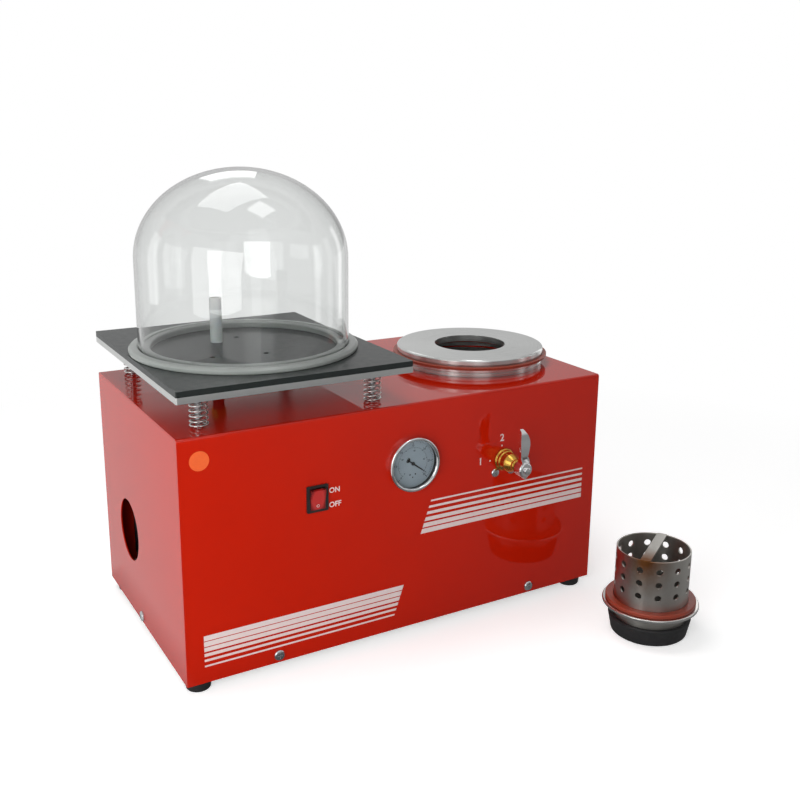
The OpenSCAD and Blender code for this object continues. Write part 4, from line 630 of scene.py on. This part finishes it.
alloy = Finish("turned_aluminium", Metallic=1.0, Anisotropic=0.7, Anisotropic_Rotation=0.25)
dx, dy, dz = alloy.from_point(at(*CHAMBER, 0))
radius = (dx ** 2 + dy ** 2) ** 0.5
grooves = alloy.streaks(radius + dz, 0.00035)
alloy.cloud(0.03, (0.78, 0.79, 0.78), (0.66, 0.67, 0.66), 3.0)
alloy.feed(Roughness=grooves * 0.10 + 0.22).bump(grooves, 0.000015)
RING_Z, RING_H, RING_R, RING_BORE = 279.0, 10.0, 96.0, 79.0
ring_outline = [(RING_BORE, 0), (RING_R, 0), (RING_R, RING_H * 0.42), (RING_R - 0.7, RING_H * 0.47),
                (RING_R - 0.7, RING_H * 0.54), (RING_R, RING_H * 0.59), (RING_R, RING_H - 1),
                (RING_R - 1, RING_H), (RING_BORE + 0.8, RING_H), (RING_BORE, RING_H - 0.8)]
place_piece(ease(turned(ring_outline, standing(*CHAMBER, RING_Z), 192), 0.25),
            "chamber_ring_turned", alloy, "machine", 40, ("chamber_ring",))

# The silicone disc has a fine groove round its edge, left by its mould.
silicone = Finish("red_silicone", Subsurface_Weight=0.1, Coat_Weight=0.2, Coat_Roughness=0.3)
silicone.cloud(0.012, (0.33, 0.045, 0.018), (0.22, 0.028, 0.012), 4.0).wear(0.004, 0.35, 0.50)
silicone.bump(silicone.noise(0.002, 3.0), 0.00003)
DISC_Z, DISC_R, DISC_BORE, DISC_T = RING_Z + RING_H, 102.0, 58.0, 4.0
disc_outline = [(DISC_BORE, 0), (DISC_R - 0.8, 0), (DISC_R, 0.6), (DISC_R, DISC_T * 0.42),
                (DISC_R - 0.9, DISC_T * 0.5), (DISC_R, DISC_T * 0.58), (DISC_R, DISC_T - 0.6),
                (DISC_R - 0.8, DISC_T), (DISC_BORE, DISC_T)]
place_piece(turned(disc_outline, standing(*CHAMBER, DISC_Z), 192), "silicone_disc", silicone,
            "chamber_disc", 30, ("chamber_gasket",))
PLATE_Z, PLATE_R, PLATE_T, PLATE_BORE = DISC_Z + DISC_T, 97.0, 8.6, 46.7
plate_outline = [(PLATE_BORE, 0), (PLATE_R - 1.4, 0), (PLATE_R - 1.4, 1.2), (PLATE_R, 1.6),
                 (PLATE_R, PLATE_T - 2.2), (PLATE_R - 0.7, PLATE_T - 1), (PLATE_R - 2.2, PLATE_T),
                 (PLATE_BORE, PLATE_T)]
place_piece(ease(turned(plate_outline, standing(*CHAMBER, PLATE_Z), 192), 0.25),
            "adapter_plate_turned", alloy, "adapter", 40, ("adapter_plate",))

# ---------------------------------------------------------------------------------------
# The investing table: a milled aluminium plate with a black rubber mat bonded to it. It
# stands on four springs round guide bolts, so that the mould can be shaken.
TABLE_X, TABLE_Y = 138, 155
milled = Finish("milled_aluminium", Metallic=1.0)
_, back, _ = milled.from_point(at(TABLE_X, TABLE_Y, 316))
cutter_lines = milled.streaks(back, 0.0008)
milled.cloud(0.02, (0.80, 0.81, 0.80), (0.68, 0.69, 0.68), 3.0)
milled.feed(Roughness=cutter_lines * 0.16 + 0.26).bump(cutter_lines, 0.00001)
smoothed("table_plate", milled, "table", round_edges=0.4)
mat_rubber = Finish("table_rubber", Specular_IOR_Level=0.15, Coat_Weight=0.45,
                    Coat_Roughness=0.12, Coat_IOR=1.4)
mat_rubber.cloud(0.05, (0.009, 0.012, 0.012), (0.018, 0.022, 0.021), 5.0)
mat_rubber.wear(0.008, 0.34, 0.50, 4.0)
mat_rubber.bump(mat_rubber.noise(0.0012, 3.0), 0.00004)
smoothed("table_mat", mat_rubber, "table", round_edges=0.5)
smoothed("table_bolts", zinc, "table")

# The springs are wound from bright wire, with a closed turn at each end. They are drawn as
# swept wire, fixed in place between the housing at the foot and the table at the head.
wire_steel = Finish("spring_steel", Metallic=1.0)
wire_steel.cloud(0.01, (0.78, 0.77, 0.75), (0.62, 0.61, 0.60)).wear(0.002, 0.14, 0.26)
SPRING_FOOT, SPRING_HEAD = 279.3, 316.2
SPRINGS_X, SPRINGS_Y = (35, 241), (31, 279)
COIL_R, WIRE_R, TURNS, END_PITCH = 9.2, 1.2, 7, 3.0
MID_PITCH = (SPRING_HEAD - SPRING_FOOT - 2 * WIRE_R - 2 * END_PITCH) / (TURNS - 2)
STEPS = 28
bm = bmesh.new()
for x in SPRINGS_X:
    for y in SPRINGS_Y:
        foot = at(x, y, SPRING_FOOT + WIRE_R)
        wire_end = Matrix.Translation(foot + Vector((COIL_R * MM, 0, 0)))
        made = bmesh.ops.create_circle(bm, segments=10, radius=WIRE_R * MM, cap_ends=True,
                                       matrix=wire_end @ Matrix.Rotation(pi / 2, 4, "X"))
        tip = list({f for v in made["verts"] for f in v.link_faces})
        end = tip + [e for v in made["verts"] for e in v.link_edges] + made["verts"]
        for turns, pitch in ((1, END_PITCH), (TURNS - 2, MID_PITCH), (1, END_PITCH)):
            end = bmesh.ops.spin(bm, geom=list(dict.fromkeys(end)), cent=foot, axis=(0, 0, 1),
                                 dvec=(0, 0, pitch * MM / STEPS), angle=2 * pi * turns,
                                 steps=STEPS * turns, use_duplicate=False)["geom_last"]
bmesh.ops.recalc_face_normals(bm, faces=bm.faces)
springs = place_piece(bm, "coil_springs", wire_steel, None, 60, ("table_springs",))
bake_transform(springs)

# A short hose joins the pipe in the housing's top to the table.
PIPE_X, PIPE_Y, HOSE_FOOT = 114, 190, 282
HOSE_BORE, HOSE_R, HOSE_L = 4.5, 7.0, 29.5
hose_outline = [(HOSE_BORE, 0), (HOSE_R, 0), (HOSE_R, HOSE_L), (HOSE_BORE, HOSE_L)]
bm = turned(hose_outline, standing(PIPE_X, PIPE_Y, HOSE_FOOT), 48)
link = place_piece(bm, "table_hose_link", rubber, None, 35, ("table_hose",))
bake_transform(link)

# The standpipe is a white plastic tube pressed through the mat. Vacuum is drawn at its open
# top, above anything that boils over. Its top is coloured a darker grey than the rest.
white_plastic = Finish("white_plastic", Subsurface_Weight=0.15)
PIPE_FOOT, PIPE_L, PIPE_BORE, PIPE_R, DARK_TOP_L = 316.5, 67.5, 5.0, 7.2, 14
# The top 14 mm are a darker grey than the tube below them.
_, _, height = white_plastic.from_point(at(PIPE_X, PIPE_Y, PIPE_FOOT + PIPE_L - DARK_TOP_L))
lower_tone = white_plastic.mix(white_plastic.noise(0.01), (0.72, 0.73, 0.71), (0.62, 0.63, 0.61))
white_plastic.feed(Base_Color=white_plastic.mix(height.rise(-0.001, 0.001), lower_tone,
                                                (0.38, 0.40, 0.39)))
white_plastic.wear(0.003, 0.35, 0.50)
pipe_outline = [(PIPE_BORE, 0), (PIPE_R, 0), (PIPE_R, PIPE_L - 0.8), (PIPE_R - 0.8, PIPE_L),
                (PIPE_BORE, PIPE_L)]
place_piece(ease(turned(pipe_outline, standing(PIPE_X, PIPE_Y, PIPE_FOOT), 64), 0.3),
            "standpipe_tube", white_plastic, "table", 40, ("standpipe",))
dress(brass, "table_barb")

# ---------------------------------------------------------------------------------------
# The bell jar is blown from clear acrylic: a straight wall that runs into a dome. Its rim
# stands in a milky rubber ring, which seals it to the mat.
acrylic = Finish("clear_acrylic", Base_Color=(0.875, 0.885, 0.88), IOR=1.49,
                 Transmission_Weight=1.0)
acrylic.wear(0.05, 0.0, 0.004)
JAR_X, JAR_Y, JAR_Z = 134.5, 150.0, 332.0
JAR_R, JAR_WALL, WALL_H, DOME_H, RIM_EDGE = 122.0, 4.0, 104.0, 102.5, 0.6
JAR_BORE = JAR_R - JAR_WALL


def dome(radius, rise, steps=36):
    """The outline of a dome on the jar's straight wall, from the wall to just short of its top."""
    angles = [i * pi / 2 / steps for i in range(steps)]
    return [(radius * cos(a), WALL_H + rise * sin(a)) for a in angles]


# Outside and lining are turned apart and then joined at the rim.
skin = ([(JAR_R, RIM_EDGE), (JAR_R, WALL_H / 2)] + dome(JAR_R, DOME_H) + [(0, WALL_H + DOME_H)])
core = ([(0, WALL_H + DOME_H - JAR_WALL)] + dome(JAR_BORE, DOME_H - JAR_WALL)[::-1]
        + [(JAR_BORE, WALL_H / 2), (JAR_BORE, RIM_EDGE), (JAR_BORE + RIM_EDGE, 0),
           (JAR_R - RIM_EDGE, 0), (JAR_R, RIM_EDGE)])
bm = turned(skin, standing(JAR_X, JAR_Y, JAR_Z), 160, closed=False)
shell = turned(core, standing(JAR_X, JAR_Y, JAR_Z), 160, closed=False)
lining = bpy.data.meshes.new("lining")
shell.to_mesh(lining)
shell.free()
bm.from_mesh(lining)
bmesh.ops.remove_doubles(bm, verts=bm.verts, dist=SAME_PLACE)
bmesh.ops.recalc_face_normals(bm, faces=bm.faces)
place_piece(bm, "bell_jar_clear", acrylic, "jar", 30, ("bell_jar",))

# The ring is moulded with a channel that the jar's rim slips into.
milky = Finish("milky_rubber", Transmission_Weight=0.45, Coat_Weight=0.6, Coat_Roughness=0.12)
milky.cloud(0.03, (0.60, 0.64, 0.61), (0.50, 0.54, 0.51), 3.0).wear(0.006, 0.30, 0.45)
BOOT_BORE, BOOT_R, BOOT_H, BOOT_FLOOR, SLIP = 108.0, 133.0, 7.0, 2.0, 0.1
boot_outline = [(BOOT_BORE, 0), (BOOT_R - 1, 0), (BOOT_R, 1.2), (BOOT_R, BOOT_H - 3),
                (BOOT_R - 2.5, BOOT_H - 0.6), (JAR_R + 1.5, BOOT_H), (JAR_R + SLIP, BOOT_H - 0.8),
                (JAR_R + SLIP, BOOT_FLOOR), (JAR_BORE - SLIP, BOOT_FLOOR),
                (JAR_BORE - SLIP, BOOT_H - 0.8), (JAR_BORE - 1.5, BOOT_H),
                (BOOT_BORE + 1.5, BOOT_H), (BOOT_BORE, BOOT_H - 1.5)]
place_piece(ease(turned(boot_outline, standing(JAR_X, JAR_Y, JAR_Z - BOOT_FLOOR), 192), 0.4, 25, 3),
            "jar_ring_moulded", milky, "jar", 50, ("jar_gasket",))

# ---------------------------------------------------------------------------------------
# The flask set: a perforated stainless can with a bar welded across its mouth, a flange
# with a silicone gasket on it, and a rubber sprue base. The can is heat tinted by the weld.
FLASK_X, FLASK_Y = 541.0, -130.0
BAR_TURN, CAN_R, RIM_Z = radians(33), 44.4, 95.1
WELD = at(FLASK_X - CAN_R * cos(BAR_TURN), FLASK_Y - CAN_R * sin(BAR_TURN), RIM_Z)
HEAT_FULL, HEAT_GONE = 0.010, 0.042               # metres from the weld
flask_steel = Finish("burnt_steel", Metallic=1.0, Anisotropic=0.85, Anisotropic_Rotation=0.25)
_, _, height = flask_steel.from_point(at(FLASK_X, FLASK_Y, 0))
wx, wy, wz = flask_steel.from_point(WELD)
weld = ((wx ** 2 + wy ** 2 + 0.6 * wz ** 2) ** 0.5) + 0.008 * flask_steel.noise(0.006)
bare = flask_steel.mix(flask_steel.noise(0.02, 4.0), (0.60, 0.58, 0.54), (0.44, 0.42, 0.39))
flask_steel.feed(Base_Color=flask_steel.mix(1 - weld.rise(HEAT_FULL, HEAT_GONE), bare,
                                            (0.22, 0.085, 0.028)))
flask_steel.wear(0.004, 0.25, 0.39, 3.0)
flask_steel.bump(flask_steel.streaks(height, 0.0006), 0.000008)
smoothed("flask_can", flask_steel, "flask", 35,
         round_axis=at(FLASK_X, FLASK_Y, 0))
bright = Finish("bright_steel", Metallic=1.0)
bright.cloud(0.02, (0.78, 0.77, 0.75), (0.66, 0.65, 0.63), 3.0).wear(0.003, 0.14, 0.26)
FLANGE_Z, FLANGE_R, FLANGE_BORE, FLANGE_T = 23.1, 58.0, 44.42, 4.0
flange_outline = [(FLANGE_BORE, 0), (FLANGE_R - 0.8, 0), (FLANGE_R, 0.8),
                  (FLANGE_R, FLANGE_T - 0.8), (FLANGE_R - 0.8, FLANGE_T), (FLANGE_BORE, FLANGE_T)]
place_piece(ease(turned(flange_outline, standing(FLASK_X, FLASK_Y, FLANGE_Z), 128), 0.5, 25, 3),
            "flask_flange_rolled", bright, "flask", 50, ("flask_flange",))
SEAL_Z, SEAL_R, SEAL_BORE, SEAL_T = FLANGE_Z + FLANGE_T, 54.3, 44.7, 5.0
seal_outline = [(SEAL_BORE, 0), (SEAL_R - 0.8, 0), (SEAL_R, 0.8), (SEAL_R, SEAL_T - 0.8),
                (SEAL_R - 0.8, SEAL_T), (SEAL_BORE, SEAL_T)]
place_piece(ease(turned(seal_outline, standing(FLASK_X, FLASK_Y, SEAL_Z), 128), 0.6, 25, 3),
            "flask_gasket_moulded", silicone, "flask_seal", 50, ("flask_gasket",))
smoothed("sprue_base", rubber, "flask_foot")

# ---------------------------------------------------------------------------------------
# Inside the housing: the oil-filled pump and its motor on rubber pads, the chamber can and
# the hoses. They show through the access hole, the vents and the chamber's bore.
steel = Finish("pressed_steel", Metallic=1.0)
steel.cloud(0.02, (0.56, 0.55, 0.53), (0.44, 0.43, 0.42)).wear(0.003, 0.26, 0.42)
dress(steel, "base_pan", "gauge_clamp", "pump_flange", "pump_stator", "chamber_can",
      "motor_rotor", "pump_rotor")
dress(zinc, "inner_bolts")
dress(milled, "capacitor")
cast_paint = Finish("hammered_black", Coat_Weight=0.3, Coat_Roughness=0.2)
cast_paint.cloud(0.006, (0.012, 0.012, 0.013), (0.03, 0.03, 0.032)).wear(0.003, 0.35, 0.55)
cast_paint.bump(cast_paint.noise(0.003, 1.0), 0.0002)
dress(cast_paint, "pump_case", "motor_frame", "motor_end_bells")
dress(window, "sight_glass")
dress(brass, "pump_plugs", "gauge_movement")
dress(plastic, "power_inlet", "fan_cowl", "motor_fan", "wiring")
dress(rubber, "mount_pads", "pump_hoses", "chamber_hose", "table_line")
copper = Finish("enamelled_copper", Metallic=0.9, Coat_Weight=0.5)
windings = copper.streaks(copper.from_point(at(186, 202, 106))[0], 0.0012)
copper.feed(Base_Color=copper.mix(windings, (0.50, 0.17, 0.06), (0.32, 0.10, 0.04)),
            Roughness=windings * 0.1 + 0.3)
dress(copper, "motor_core")
